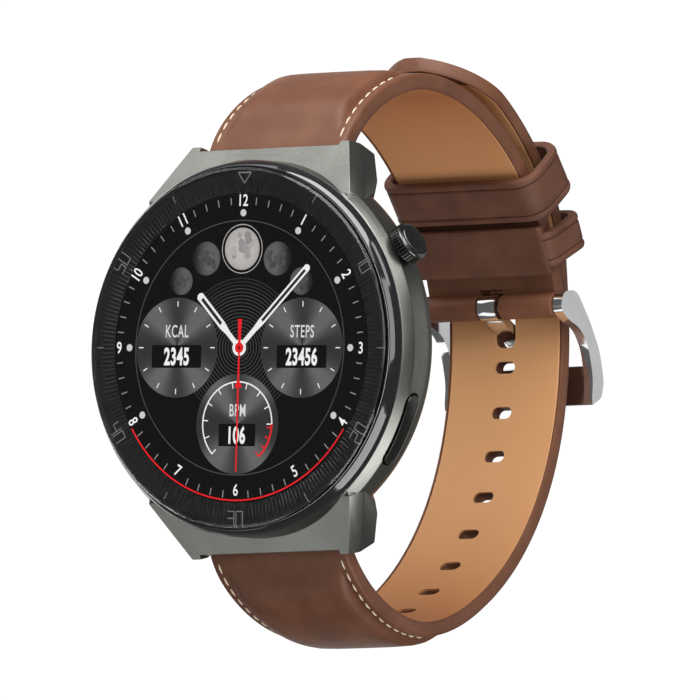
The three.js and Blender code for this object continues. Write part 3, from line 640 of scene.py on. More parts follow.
# ---- case
HOOD_EDGE_Y = 23.96
HOOD_EDGE_Z = 5.0
HOOD_SLOPE = 0.68
HOOD_THICKNESS = 1.0
LUG_GAP_HALF = 10.1
POCKET_Y = 20.2
RING_WALL_RADIUS = 22.3
RIM_Z = 9.4
BEZEL_SEAT_RADIUS = 21.5
WALL_HIGH = 8.0
WALL_MIDDLE = 7.0
WALL_LOW = 6.0
BELLY_STEPS = 16
FOOT_RADIUS = 20.2
FOOT_Z = 0.9
BELLY_Z = 3.4
CROWN_ANGLE = 29
CROWN_Z = 6.6
BUTTON_ANGLE = -26.6
BUTTON_Z = 6.9
BUTTON_HALF_LENGTH = 4.45
BUTTON_HALF_HEIGHT = 1.0
BUTTON_GAP = 0.28
BUTTON_SLOT_FLOOR = 21.2
BUTTON_FOOT = 21.95
BUTTON_PROUD = 0.12
LUG_TOP = RIM_Z - 0.05
LUG_BACK = 0.5
LUG_EDGE = 0.12
# Corners of one lug: its upper ridge, its outer bend, its foot and its root inside the barrel.
LUG_CORNERS = [
    (11.2, 24.5, 4.85), (13.1, 20.5, 7.5), (14.5, 18.0, 9.1), (14.2, 17.0, LUG_TOP),
    (12.0, 24.2, 3.3), (13.9, 20.2, 5.9), (15.4, 17.2, 7.3),
    (12.6, 23.0, 1.2), (12.0, 22.8, LUG_BACK), (14.0, 19.7, 2.6), (14.5, 18.2, 3.8),
    (11.5, 16.2, LUG_BACK), (10.0, 14.0, LUG_TOP), (10.0, 14.0, LUG_BACK),
]
# The case's inside, from the back: the cover's seat, the bore for the works and the bezel's seat.
CAVITY = [(0, -2), (19.4, -2), (19.4, 2.1), (18.7, 2.1), (18.7, 9.0), (22.0, 9.0), (22.0, 20), (0, 20)]


def hood_height(y):
    return HOOD_EDGE_Z + HOOD_SLOPE * (HOOD_EDGE_Y - y)


def case_barrel():
    """The round shell: a curved belly, an upright wall and a sloping shoulder."""
    profile = [(0, FOOT_Z)]
    foot = Vector((FOOT_RADIUS, FOOT_Z))
    bend = Vector((CASE_RADIUS, BELLY_Z))
    wall = Vector((CASE_RADIUS, WALL_LOW))
    profile += [tuple(curved(foot, bend, wall, i / BELLY_STEPS)) for i in range(BELLY_STEPS + 1)]
    shoulder = [
        (CASE_RADIUS, WALL_MIDDLE), (CASE_RADIUS, WALL_HIGH),
        (RIM_RADIUS + 0.05, RIM_Z), (BEZEL_SEAT_RADIUS, RIM_Z),
    ]
    profile += rounded(shoulder, 0.1, 3, closed=False)
    profile.append((0, RIM_Z))
    return turned_solid("case_shell", profile)


def lug_block(end):
    """Both lugs of one end with the hood between them, as one bevelled convex block."""
    bm = bmesh.new()
    for x, y, z in LUG_CORNERS:
        for side in (1, -1):
            bm.verts.new(Vector((side * x, end * y, z)) * MM)
    bmesh.ops.convex_hull(bm, input=bm.verts)
    bmesh.ops.dissolve_limit(bm, angle_limit=math.radians(3), verts=bm.verts, edges=bm.edges)
    ridges = [e for e in bm.edges if e.calc_face_angle(0) > math.radians(9)]
    bmesh.ops.bevel(
        bm, geom=ridges, offset=LUG_EDGE * MM, segments=2, profile=0.5, affect="EDGES")
    return outward(object_of("lugs", bm))


def pill(half_a, half_b, steps=16):
    """An outline with round ends, longer along the first axis."""
    points = []
    for side in (1, -1):
        for i in range(steps + 1):
            a = -math.pi / 2 + math.pi * i / steps
            reach = half_a - half_b + half_b * math.cos(a)
            points.append((side * reach, side * half_b * math.sin(a)))
    return points


def side_prism(name, shape, low, high, degrees, height):
    """A prism that points outwards from the case's side."""
    obj = prism(name, shape, "x", low, high)
    turn = Matrix.Rotation(math.radians(degrees), 4, "Z")
    obj.data.transform(Matrix.Translation((0, 0, height * MM)) @ turn)
    return obj


def cut_hood(case, end):
    """Slopes the hood down from the barrel's wall to the strap."""
    near, far, above = 13, 28, 14
    slope = [(near, hood_height(near)), (far, hood_height(far)), (far, above), (near, above)]
    tool = prism("hood_tool", [(end * y, z) for y, z in slope], "x", -20, 20)
    boolean(tool, cylinder("wall", RING_WALL_RADIUS, -5, 20))
    boolean(case, tool)


def cut_strap_pocket(case, end):
    """Opens the gap between the lugs, and the pocket under the hood that holds the strap's root."""
    far = 30
    gap = oblong(LUG_GAP_HALF, 12, (0, 4))
    boolean(case, prism("edge", gap, "y", *sorted((end * HOOD_EDGE_Y, end * far))))
    under = hood_height(HOOD_EDGE_Y) - HOOD_THICKNESS
    pocket = [
        (POCKET_Y, -2), (far, -2), (far, under), (HOOD_EDGE_Y, under),
        (POCKET_Y, hood_height(POCKET_Y) - HOOD_THICKNESS),
    ]
    tool = prism("pocket", [(end * y, z) for y, z in pocket], "x", -LUG_GAP_HALF, LUG_GAP_HALF)
    boolean(case, tool)


def make_case():
    case = case_barrel()
    for end in (1, -1):
        boolean(case, lug_block(end), "UNION")
        cut_hood(case, end)
    boolean(case, turned_solid("cavity", CAVITY))
    for end in (1, -1):
        cut_strap_pocket(case, end)
    slot = pill(BUTTON_HALF_LENGTH + BUTTON_GAP, BUTTON_HALF_HEIGHT + BUTTON_GAP)
    boolean(case, side_prism("slot", slot, BUTTON_SLOT_FLOOR, 30, BUTTON_ANGLE, BUTTON_Z))
    dress(case, [TITANIUM], "watch", ["case_body"], "case_metal", 26)


# ---- glass, bezel and ribbed ring
RIB_INNER = 18.35
RIB_OUTER = 19.75
RIBS = 240
RIB_DEPTH = 0.09
RING_INNER = 18.3
RING_OUTER = 20.85
RING_LOW = 9.1
GLASS_LOW = 10.8
GLASS_EDGE = 0.8
GLASS_EDGE_RISE = 0.88
GLASS_EDGE_STEPS = 18
GLASS_SQUARENESS = 0.8  # 1 would be a quarter of an ellipse


def make_bezel():
    """The polished line round the glass, with a rounded lip."""
    seat = BEZEL_SEAT_RADIUS
    line = turned_solid("bezel", [
        (seat, 9.05), (21.95, 9.05), (21.95, RIM_Z + 0.05), (RIM_RADIUS, RIM_Z + 0.08),
        (RIM_RADIUS, RIM_Z + 0.16), (21.96, 10.38), (21.90, 10.44), (21.66, 10.78),
        (21.58, 10.84), (seat, 10.84), (seat, 9.05),
    ])
    dress(line, [BEZEL], "watch", ["bezel_ring"], "polished_bezel", 24)


def make_glass():
    """The domed glass, with an edge that turns down in a squarish curve."""
    low = GLASS_LOW
    shoulder = GLASS_RADIUS - GLASS_EDGE
    dome = [(0, low - 0.1), (20.9, low - 0.1), (21.3, low - 0.08), (GLASS_RADIUS, low)]
    for i in range(1, GLASS_EDGE_STEPS + 1):
        a = math.pi / 2 * i / GLASS_EDGE_STEPS
        across, up = math.cos(a) ** GLASS_SQUARENESS, math.sin(a) ** GLASS_SQUARENESS
        dome.append((shoulder + GLASS_EDGE * across, low + GLASS_EDGE_RISE * up))
    edge = dome[-1][1]
    for r in range(18, 0, -3):
        dome.append((r, edge + (GLASS_TOP - edge) * (1 - (r / shoulder) ** 2)))
    dome.append((0, GLASS_TOP))
    dress(turned_solid("glass", dome), [GLASS], "watch", ["cover_glass"], "cover_glass", 60)


def make_ribbed_ring():
    """A dark ring with radial ribs inside and a plain printed band outside."""
    rows = []
    top = DIAL_Z - 0.02
    for i in range(RIBS * 4):
        turn = 2 * math.pi * i / (RIBS * 4)
        sunk = RIB_DEPTH if i % 4 >= 2 else 0.0
        profile = [
            (RING_INNER, RING_LOW), (RING_OUTER, RING_LOW), (RING_OUTER, top - 0.02),
            (RIB_OUTER + 0.12, top), (RIB_OUTER, top - sunk), (RIB_INNER, top - 0.12 - sunk),
            (RING_INNER, top - 0.2),
        ]
        rows.append([around(r, turn, z) for r, z in profile])
    ring = outward(mesh_object("ribbed_ring", *grid(rows, close_rows=True)))
    dress(ring, [RIBBED], "watch", ["dial_ring"], "dial_ring", 30)


# ---- the dial's picture
WHITE = (0.90, 0.90, 0.90)
GREY = (0.30, 0.30, 0.30)
DIM = (0.075, 0.075, 0.075)
DOT_GREY = (0.62, 0.62, 0.62)
LABEL_GREY = (0.72, 0.72, 0.72)
MOON_LINE = (0.45, 0.44, 0.42)
RED = (0.80, 0.012, 0.018)
DARK_RED = (0.25, 0.0, 0.0)
BLACK = (0.0, 0.0, 0.0)
SLOT_BLACK = (0.02, 0.02, 0.02)
PRINT_INK = (0.22, 0.22, 0.22)
LAYER = 0.004  # height of one layer of the picture
LABEL_STYLE = {"squeeze": 0.6, "weight": 0.012, "spacing": 1.12}
COUNT_STYLE = {"squeeze": 0.62, "weight": 0.035, "spacing": 1.08}
MIDDLE = (0.0, 0.0)
SHADE_RINGS = (0.0, 0.35, 0.7, 0.9, 1.0)  # shares of a shaded disc's radius
PICTURE_TURN = 2.0  # degrees clockwise that the picture is turned by on the case
FONT = bpy.data.curves.new("letters", "FONT").font


class Art:
    """Flat coloured shapes in thin layers, gathered into one mesh."""

    def __init__(self, name, base_z):
        self.name = name
        self.z = base_z
        self.verts, self.faces, self.paints, self.picks = [], [], [], []

    def face(self, points, colours, layer, pick=0):
        """points is a list of (x, y); colours one colour, or one for each point."""
        if isinstance(colours[0], (int, float)):
            colours = [colours] * len(points)
        start = len(self.verts)
        self.verts += [(x, y, self.z + layer * LAYER) for x, y in points]
        self.faces.append(tuple(range(start, start + len(points))))
        self.paints += [(*c, 1.0) for c in colours]
        self.picks.append(pick)

    def arc(self, centre, inner, outer, start, end, colour, layer, steps=96):
        """A band between two radii; angles run clockwise from 12 o'clock, in degrees."""
        for i in range(steps):
            a, b = (start + (end - start) * (i + k) / steps for k in (0, 1))
            corners = [(inner, a), (outer, a), (outer, b), (inner, b)]
            self.face([clock(centre, r, t) for r, t in corners], colour, layer)

    def ticks(self, centre, inner, outer, angles, width, colour, layer):
        """Straight marks that point away from the centre."""
        for angle in angles:
            ends = (clock(centre, radius, angle) for radius in (inner, outer))
            self.bar(*ends, width, colour, layer)

    def disc(self, centre, radius, colour, layer, steps=48):
        self.face([clock(centre, radius, -360 * i / steps) for i in range(steps)], colour, layer)

    def bar(self, start, end, width, colour, layer):
        a, b = Vector(start), Vector(end)
        side = (b - a).normalized()
        side = Vector((-side.y, side.x)) * width / 2
        self.face([tuple(p) for p in (a - side, b - side, b + side, a + side)], colour, layer)

    def shaded_disc(self, centre, radius, shade, layer, pick, steps=96):
        """shade(degrees, share of the radius) gives the colour."""
        for low, high in zip(SHADE_RINGS, SHADE_RINGS[1:]):
            for i in range(steps):
                a, b = -360 * i / steps, -360 * (i + 1) / steps
                spots = [(high, a), (high, b), (low, b), (low, a)]
                if low == 0:
                    spots = spots[:3]
                points = [clock(centre, radius * r, t) for r, t in spots]
                self.face(points, [shade(t, r) for r, t in spots], layer, pick)

    def text(self, words, centre, height, colour, layer, turn=0.0, **style):
        """Letters centred on a place, turned clockwise by degrees."""
        curve = bpy.data.curves.new("words", "FONT")
        curve.body = words
        curve.font = FONT
        curve.align_x = "CENTER"
        curve.offset = style["weight"]
        curve.space_character = style.get("spacing", 1.0)
        curve.resolution_u = 4
        holder = link(bpy.data.objects.new("words", curve))
        bpy.context.view_layer.update()
        graph = bpy.context.evaluated_depsgraph_get()
        mesh = bpy.data.meshes.new_from_object(holder.evaluated_get(graph))
        xs = [v.co.x for v in mesh.vertices]
        ys = [v.co.y for v in mesh.vertices]
        scale = height / (max(ys) - min(ys))
        places = []
        for x, y in zip(xs, ys):
            across = (x - (min(xs) + max(xs)) / 2) * scale * style["squeeze"]
            places.append(swung(centre, across, (y - (min(ys) + max(ys)) / 2) * scale, turn))
        for polygon in mesh.polygons:
            self.face([places[i] for i in polygon.vertices], colour, layer)
        bpy.data.objects.remove(holder)
        bpy.data.meshes.remove(mesh)
        bpy.data.curves.remove(curve)

    def build(self, materials, slot):
        """The finished mesh, turned with the picture and facing out of the dial."""
        obj = mesh_object(self.name, self.verts, self.faces, self.picks)
        obj.data.transform(Matrix.Rotation(math.radians(-PICTURE_TURN), 4, "Z"))
        bm = bmesh.new()
        bm.from_mesh(obj.data)
        for face in bm.faces:
            if face.normal.z < 0:
                face.normal_flip()
        bm.to_mesh(obj.data)
        bm.free()
        paint = obj.data.attributes.new("paint", "FLOAT_COLOR", "POINT")
        paint.data.foreach_set("color", [c for p in self.paints for c in p])
        dress(obj, materials, "watch", [], slot, 180)


def swung(centre, x, y, degrees):
    """The place (x, y) from a centre, turned clockwise by degrees."""
    a = -math.radians(degrees)
    cos, sin = math.cos(a), math.sin(a)
    return (centre[0] + x * cos - y * sin, centre[1] + x * sin + y * cos)


def clock(centre, radius, degrees):
    """The place at a clock angle, clockwise from 12 o'clock."""
    a = math.radians(degrees)
    return (centre[0] + radius * math.sin(a), centre[1] + radius * math.cos(a))


def draw_scale(art):
    """Minute marks, hour dots, hour numbers and the red span of the lower rim."""
    art.arc(MIDDLE, 15.0, 15.1, 0, 360, DIM, 1, 180)
    art.arc(MIDDLE, 17.93, 18.12, 122, 238, RED, 3, 120)
    art.ticks(MIDDLE, 16.95, 17.8, [6 * m for m in range(60) if m % 5], 0.12, GREY, 2)
    for hour in range(1, 13):
        angle = hour * 30
        low = hour in (5, 6, 7)
        if not low:
            art.disc(clock(MIDDLE, 15.95, angle), 0.42, DOT_GREY, 3)
        turn = angle if hour in (1, 2, 10, 11) else angle - 180
        if hour % 3 == 0:
            turn = 0
        place = clock(MIDDLE, 16.8 if low else 17.45, angle)
        art.text(str(hour), place, 1.4, WHITE, 3, turn, squeeze=0.8, weight=0.012)


def draw_guilloche(art):
    """Fine rings round the middle, fainter at the outside."""
    pitch = 0.41
    half_line = 0.05
    for i in range(2, 21):
        value = 0.055 if i < 18 else 0.035
        low, high = i * pitch - half_line, i * pitch + half_line
        art.arc(MIDDLE, low, high, 0, 360, (value, value, value), 1, 90)


def brushed_shade(light_angles, low=0.016, high=0.13):
    """A radially brushed face: bright in some directions and dark between them."""
    def shade(degrees, share):
        turn = math.radians(degrees)
        glow = sum(max(0.0, math.cos(turn - math.radians(a))) ** 14 for a in light_angles)
        value = low + (high - low) * min(1.0, glow + 0.12)
        return (value, value, value * 0.99)
    return shade


SUB_RADIUS = 5.92
HAND_BASE_WIDTH = 0.62
KCAL_AT = (-9.06, 0.0)
STEPS_AT = (9.0, 0.0)
BPM_AT = (0.0, -9.02)


def draw_counter(art, centre, label, number):
    """A brushed sub-dial with twelve marks, a label and a count in a dark window."""
    art.shaded_disc(centre, SUB_RADIUS, brushed_shade((40, 140, 215, 320)), 4, 1)
    art.ticks(centre, 4.85, 5.5, range(0, 360, 30), 0.13, WHITE, 5)
    x, y = centre
    art.face(oblong(3.58, 1.35, (x, y - 1.04)), BLACK, 6)
    art.text(label, (x, y + 1.95), 1.5, LABEL_GREY, 6, **LABEL_STYLE)
    art.text(number, (x, y - 1.04), 2.15, WHITE, 7, **COUNT_STYLE)


def draw_heart(art):
    """The lower sub-dial: a gauge with a red end, a label, a count and a pointer."""
    x, y = BPM_AT
    art.shaded_disc(BPM_AT, SUB_RADIUS, brushed_shade((35, 145, 215, 325)), 4, 1)
    art.arc(BPM_AT, 4.9, 5.08, -135, 90, WHITE, 5, 72)
    art.arc(BPM_AT, 4.85, 5.1, 90, 140, RED, 5, 24)
    art.ticks(BPM_AT, 4.25, 5.0, range(-135, 91, 25), 0.14, WHITE, 5)
    art.ticks(BPM_AT, 4.3, 5.0, range(95, 145, 15), 0.16, RED, 5)
    art.face(oblong(2.65, 1.32, (x, y - 1.3)), BLACK, 6)
    art.text("BPM", (x, y + 1.63), 1.45, LABEL_GREY, 6, **LABEL_STYLE)
    art.text("106", (x, y - 1.3), 2.15, WHITE, 7, **COUNT_STYLE)
    art.face([(x - 0.55, y + 4.3), (x + 0.55, y + 4.3), (x, y + 5.5)], RED, 7)


def moon_shade(brightness, dark_side):
    """dark_side is -1 for a moon that is dark on its left, 1 on its right and 0 for a full one."""
    def shade(degrees, share):
        side = math.sin(math.radians(degrees)) * share * dark_side
        value = brightness * (1 - 0.25 * share ** 4) * min(1.0, max(0.1, 0.85 - 0.95 * side))
        return (value, value * 0.95, value * 0.93)
    return shade


def draw_seas(art, centre, radius, brightness, seed):
    """Soft dark patches on a moon, the same for every run."""
    chance = random.Random(seed)
    for i in range(22):
        angle, reach = chance.uniform(0, 360), radius * chance.uniform(0.0, 0.74)
        spot = clock(centre, reach, angle)
        size = radius * chance.uniform(0.06, 0.24)
        value = brightness * chance.uniform(0.5, 0.85)
        rim = [clock(spot, size * chance.uniform(0.75, 1.15), -24 * k) for k in range(15)]
        art.face(rim, (value, value * 0.94, value * 0.93), 5 + i * 0.05, 2)


def draw_moons(art):
    """The full moon in its ring, with two waning moons at each side."""
    full = (0.0, 11.69)
    art.arc(full, 2.83, 2.93, 0, 360, MOON_LINE, 4, 96)
    art.shaded_disc(full, 2.5, moon_shade(0.62, 0), 4, 2)
    draw_seas(art, full, 2.5, 0.55, 3)
    for x, y, radius, brightness in ((5.15, 10.54, 2.0, 0.13), (8.68, 7.87, 1.63, 0.12)):
        for side in (-1, 1):
            art.shaded_disc((side * x, y), radius, moon_shade(brightness, side), 4, 2)
            draw_seas(art, (side * (x - 0.3), y), radius * 0.9, brightness * 0.8, x + side)


def draw_hand(art, tip, tip_width, slot_start, layer):
    """A white hand that widens outwards, with a dark slot in its outer part."""
    length = Vector(tip).length
    along = Vector(tip).normalized()
    side = Vector((-along.y, along.x))
    base, wide = HAND_BASE_WIDTH / 2, tip_width / 2
    rise = slot_start - 1.2
    bend = length - 0.25
    half_outline = [(0, base), (rise, base), (slot_start, wide), (bend, wide), (length, wide * 0.4)]
    inner = wide * 0.42
    low, high = slot_start + 0.3, length - 0.75
    slot = [(low, -inner), (high, -inner), (high, inner), (low, inner)]
    hand = [(d, -w) for d, w in half_outline] + half_outline[::-1]
    art.face([tuple(along * d + side * w) for d, w in hand], WHITE, layer)
    art.face([tuple(along * d + side * w) for d, w in slot], SLOT_BLACK, layer + 1)


def draw_hands(art):
    """Hour and minute hands, and the thin red seconds hand with its boss."""
    draw_hand(art, (-6.08, 6.31), 1.0, 3.6, 9)
    draw_hand(art, (9.7, 9.71), 0.86, 4.2, 9)
    art.disc(MIDDLE, 0.98, WHITE, 11)
    art.face([(-0.10, -14.67), (0.10, -14.67), (0.14, 0), (-0.14, 0)], RED, 12)
    art.face([(-0.16, 0), (0.16, 0), (0.30, 3.4), (-0.30, 3.4)], RED, 12)
    art.disc(MIDDLE, 0.62, RED, 13)
    art.disc(MIDDLE, 0.2, DARK_RED, 14, 24)


def make_dial():
    """The screen's dark panel, with the picture just above it."""
    edge = 0.05
    panel = turned_solid("screen", [
        (0, 9.3), (DIAL_RADIUS, 9.3), (DIAL_RADIUS, DIAL_Z - edge), (DIAL_RADIUS - edge, DIAL_Z),
        (0, DIAL_Z),
    ], 192)
    dress(panel, [SCREEN], "watch", ["display_panel"], "display", 30)
    art = Art("screen_picture", DIAL_Z + LAYER)
    draw_scale(art)
    draw_guilloche(art)
    draw_counter(art, KCAL_AT, "KCAL", "2345")
    draw_counter(art, STEPS_AT, "STEPS", "23456")
    draw_heart(art)
    draw_moons(art)
    draw_hands(art)
    art.build([PICTURE, BRUSHED_PICTURE, MOON_PICTURE], "display")


# Strokes between the corners of a squared digit, as shares of its half width and half height.
STROKES = {
    "a": ((-1, 1), (1, 1)), "b": ((1, 1), (1, 0)), "c": ((1, 0), (1, -1)), "d": ((1, -1), (-1, -1)),
    "e": ((-1, -1), (-1, 0)), "f": ((-1, 0), (-1, 1)), "g": ((-1, 0), (1, 0)),
}
DIGITS = {"0": "abcdef", "1": "bc", "2": "abged", "3": "abgcd", "4": "fgbc", "5": "afgcd"}
STROKE_WIDTH = 0.12


def square_digit(art, digit, centre, height, turn):
    """A thin squared digit drawn as strokes that run half a stroke past their corners."""
    half, tall = height * 0.27, height / 2
    for name in DIGITS[digit]:
        past = 0 if name == "g" else STROKE_WIDTH / 2
        ends = [swung(centre, x * (half + past), y * (tall + past), turn) for x, y in STROKES[name]]
        art.bar(*ends, STROKE_WIDTH, PRINT_INK, 2)


def make_print():
    """The outer ring's printed numbers, short lines and hollow triangle, which glow as painted light."""
    art = Art("ring_print", DIAL_Z - 0.012)
    art.ticks(MIDDLE, 19.75, 20.7, range(30, 360, 60), 0.12, PRINT_INK, 2)
    for minute in (10, 20, 30, 40, 50):
        angle = minute * 6
        flip = 1 if minute in (10, 50) else -1
        for digit, side in zip(str(minute), (-1, 1)):
            place = clock(MIDDLE, 20.15, angle + flip * side * 1.75)
            square_digit(art, digit, place, 1.5, angle if flip == 1 else angle - 180)
    corners = [(0.0, 19.45), (0.92, 20.7), (-0.92, 20.7)]
    for a, b in zip(corners, corners[1:] + corners[:1]):
        art.bar(a, b, 0.13, PRINT_INK, 2)
    art.build([PRINT_PAINTED_GLOW], "dial_ring")


# ---- crown and button
CROWN_RADIUS = 2.45
KNOB_LOW = 23.55
KNOB_HIGH = 24.85
RING_HIGH = 25.3
CROWN_TEETH = 36
GROOVE_DEPTH = 0.24


def groove_depth(part):
    """Depth of the grip at a share of one tooth's pitch: flat for half of it, then hollow."""
    if part <= 0.5:
        return 0.0
    return GROOVE_DEPTH * max(0.0, math.sin(math.pi * (part - 0.5) / 0.5)) ** 0.7


def make_crown():
    """The toothed knob, its polished bevel and its face."""
    count = CROWN_TEETH * 8
    rows = []
    body = [(KNOB_LOW, 0.22), (KNOB_LOW + 0.16, 0.0), (KNOB_HIGH - 0.14, 0.0), (KNOB_HIGH, 0.2)]
    for out, inset in body:
        radii = [CROWN_RADIUS - inset - groove_depth(i % 8 / 8) for i in range(count)]
        rows.append([around(r, 2 * math.pi * i / count, out) for i, r in enumerate(radii)])
    knob = outward(mesh_object("crown_barrel", *grid(rows, caps=True)))
    low, high = KNOB_HIGH + 0.02, RING_HIGH
    ring = turned_solid("crown_bevel", [
        (1.9, low), (CROWN_RADIUS - 0.12, low), (CROWN_RADIUS - 0.02, low + 0.08),
        (CROWN_RADIUS - 0.04, low + 0.16), (2.12, high - 0.02), (2.04, high), (1.95, high - 0.03),
        (1.9, high - 0.1), (1.9, low),
    ], 96)
    cap = turned_solid("crown_face", [
        (0, low), (1.86, low), (1.86, high), (1.8, high + 0.08), (1.6, high + 0.13), (0, high + 0.15),
    ], 96)
    for obj, material, node, slot, sharp in (
        (knob, DARK_STEEL, "crown_knob", "dark_steel", 40),
        (ring, RING_STEEL, "crown_ring", "bright_steel", 30),
        (cap, DARK_STEEL, "crown_cap", "dark_steel", 30),
    ):
        dress(to_side(obj, CROWN_ANGLE, CROWN_Z), [material], "crown", [node], slot, sharp)


def make_button():
    """A pill-shaped cap whose face follows the case's round side."""
    outline = pill(BUTTON_HALF_LENGTH, BUTTON_HALF_HEIGHT)
    button = side_prism("button_cap", outline, BUTTON_FOOT, 26, BUTTON_ANGLE, BUTTON_Z)
    boolean(button, cylinder("front", CASE_RADIUS + BUTTON_PROUD, -5, 20), "INTERSECT")
    bevel(button, 0.16, 3, 40)
    dress(button, [BUTTON_METAL], "button", ["side_button"], "case_metal", 30)


# ---- the strap's routes
LOOP_Y = 31.6
LOOP_Z = -14.0
LOOP_DEPTH = 28.5
ROOT_Z = 1.9
SHORT_THICKNESS = 2.0
LONG_THICKNESS = 1.8
LINING_INSET = 0.38
RECESS = 0.3
PAD_RISE = 1.1
PAD_INSET = 1.9
STRAP_LUG_HALF = 9.88
SHORT_BUCKLE_HALF = 9.28
LONG_BUCKLE_HALF = 8.28
TAPER_LOW_Z = -27.0
SHORT_END = -75.5
FOLD_TOP = -57.5
TAIL_START = -77.0
TAIL_END = -17.5
TAIL_BULGE = 2.05
TAIL_LIFT = 0.5
FREE_KEEPER_ANGLE = -50.4
FIXED_KEEPER_ANGLE = -63.4
TAIL_INNER = SHORT_THICKNESS + 0.35
ROOT_STEPS = 36
SHORT_STEPS = 60
SWEEP_STEPS = 64
TAIL_STEPS = 64


class Place:
    """A point of the strap's inner face in the (y, z) plane, with its outward normal."""

    def __init__(self, point, normal):
        self.point = Vector(point)
        self.normal = Vector(normal).normalized()

    def at(self, x, out):
        spot = self.point + self.normal * out
        return (x, spot.x, spot.y)


def loop_place(degrees, out=0.0):
    a = math.radians(degrees)
    normal = Vector((math.cos(a) / LOOP_Y, math.sin(a) / LOOP_DEPTH)).normalized()
    point = Vector((LOOP_Y * math.cos(a), LOOP_Z + LOOP_DEPTH * math.sin(a)))
    return Place(point + normal * out, normal)


def bezier_places(points, count, start=0.0, flip=1):
    """Places along a curve from start to 1. flip is -1 where the outside is on the left."""
    a, b, c, d = (Vector(p) for p in points)
    places = []
    for i in range(count + 1):
        t = start + (1 - start) * i / count
        s = 1 - t
        point = a * s ** 3 + b * (3 * s * s * t) + c * (3 * s * t * t) + d * t ** 3
        tangent = (b - a) * (s * s) + (c - b) * (2 * s * t) + (d - c) * (t * t)
        places.append(Place(point, (-flip * tangent.y, flip * tangent.x)))
    return places


def eased(value):
    t = min(1.0, max(0.0, value))
    return t * t * (3 - 2 * t)


def tail_offset(degrees):
    """How far the long strap's end lies outside the loop, over the short strap and the keepers."""
    rise = eased((degrees - TAIL_START + 2) / 22)
    lift = eased((degrees + 30) / 15)
    return TAIL_INNER + TAIL_BULGE * rise + TAIL_LIFT * lift


TAIL_JOIN = loop_place(TAIL_START, TAIL_INNER).point
ROOT = [(BAR.y, ROOT_Z), (25.2, 1.8), (31.3, -5), (LOOP_Y, LOOP_Z)]
LOWER_ROOT = [(-y, z) for y, z in ROOT]
SWEEP = [(-LOOP_Y, LOOP_Z), (-LOOP_Y, -25.5), (-20.5, -46.0), tuple(TAIL_JOIN)]


def short_route():
    """From the upper bar down the outside of the loop to the buckle's pin."""
    places = bezier_places(ROOT, ROOT_STEPS, 0.02)
    return places + [loop_place(SHORT_END * i / SHORT_STEPS) for i in range(1, SHORT_STEPS + 1)]


def long_route():
    """From the lower bar round to the buckle, then outside the short strap to the tip."""
    places = bezier_places(LOWER_ROOT, ROOT_STEPS, 0.02, -1)
    places += bezier_places(SWEEP, SWEEP_STEPS, 0.0, -1)[1:-1]
    for i in range(TAIL_STEPS + 1):
        degrees = TAIL_START + (TAIL_END - TAIL_START) * i / TAIL_STEPS
        places.append(loop_place(degrees, tail_offset(degrees)))
    return places


def taper(z, buckle_half):
    """Half the strap's width at a height, from the lugs to the buckle."""
    share = min(1.0, max(0.0, z / TAPER_LOW_Z))
    return STRAP_LUG_HALF + (buckle_half - STRAP_LUG_HALF) * share


TIP_SHOULDER_Z = -31.0
TIP_Z = -23.8


def tail_half(z):
    """Half the width of the long strap's end, with its pointed tip."""
    if z < TIP_SHOULDER_Z:
        return LONG_BUCKLE_HALF
    share = min(1.0, (z - TIP_SHOULDER_Z) / (TIP_Z - TIP_SHOULDER_Z))
    return LONG_BUCKLE_HALF * max(0.03, 1 - share ** 1.7) ** 0.7


def strap_section(place, half, thickness, recess, pad):
    """One closed cross-section. pad runs from 0, flat, to 1, the full padded crown."""
    rise = PAD_RISE * pad
    rim = half - LINING_INSET
    crown = half - PAD_INSET
    side = [
        (rim - 0.02, recess),
        (rim, min(recess, 0.04)),
        (half - 0.16, 0.03),
        (half - 0.03, 0.2),
        (half, 0.5),
        (half, thickness - 0.55),
        (half - 0.06, thickness - 0.22),
        (half - 0.25, thickness - 0.03),
        (half - 0.5, thickness),
        (crown + 0.42, thickness + 0.01),
        (crown + 0.2, thickness - 0.12 * min(1.0, pad * 2)),
        (crown + 0.06, thickness + rise * 0.14),
        (crown - 0.12, thickness + rise * 0.5),
        (crown - 0.5, thickness + rise * 0.78),
        (crown - 1.4, thickness + rise * 0.92),
        (crown - 3.2, thickness + rise * 0.98),
    ]
    side = [(max(0.02 * (k + 1) / len(side), x), out) for k, (x, out) in enumerate(side)]
    right = side + [(0.0, thickness + rise)]
    left = [(-x, out) for x, out in reversed(side)]
    return [place.at(x, out) for x, out in right + left]


EDGE_FACES = range(8)  # the faces of one side of a section that are painted
LEATHER_PICK, EDGE_PICK, PEBBLED_PICK = 0, 1, 2


def strap_mesh(name, places, halves, thickness, recesses, pads, folded):
    """A strap half as one loft, with each face's material number."""
    rows = [strap_section(p, h, thickness, r, d) for p, h, r, d in zip(places, halves, recesses, pads)]
    verts, faces = grid(rows, caps=True)
    count = len(rows[0])
    picks = []
    for i in range(len(rows) - 1):
        sides = [EDGE_PICK if min(j, count - 2 - j) in EDGE_FACES else LEATHER_PICK
                 for j in range(count - 1)]
        picks += sides + [PEBBLED_PICK if folded[i] else EDGE_PICK]
    picks += [EDGE_PICK, EDGE_PICK]
    return outward(mesh_object(name, verts, faces, picks))


def pad_share(along, start, full, fade, end):
    """Rises from start to full and falls from fade to end."""
    if along <= start or along >= end:
        return 0.0
    return eased((along - start) / (full - start)) * eased((end - along) / (end - fade))


def lengths(places):
    """The distance along a route at each of its places."""
    total, out = 0.0, [0.0]
    for a, b in zip(places, places[1:]):
        total += (b.point - a.point).length
        out.append(total)
    return out


def add_tube(strap, name, radius, half, middle, pick):
    """Joins a rounded tube to a strap."""
    tube = rod_x(name, radius, -half, half, middle.y, middle.z)
    bevel(tube, TUBE_EDGE, 3, 50)
    pick_all(tube, pick)
    boolean(strap, tube, "UNION")


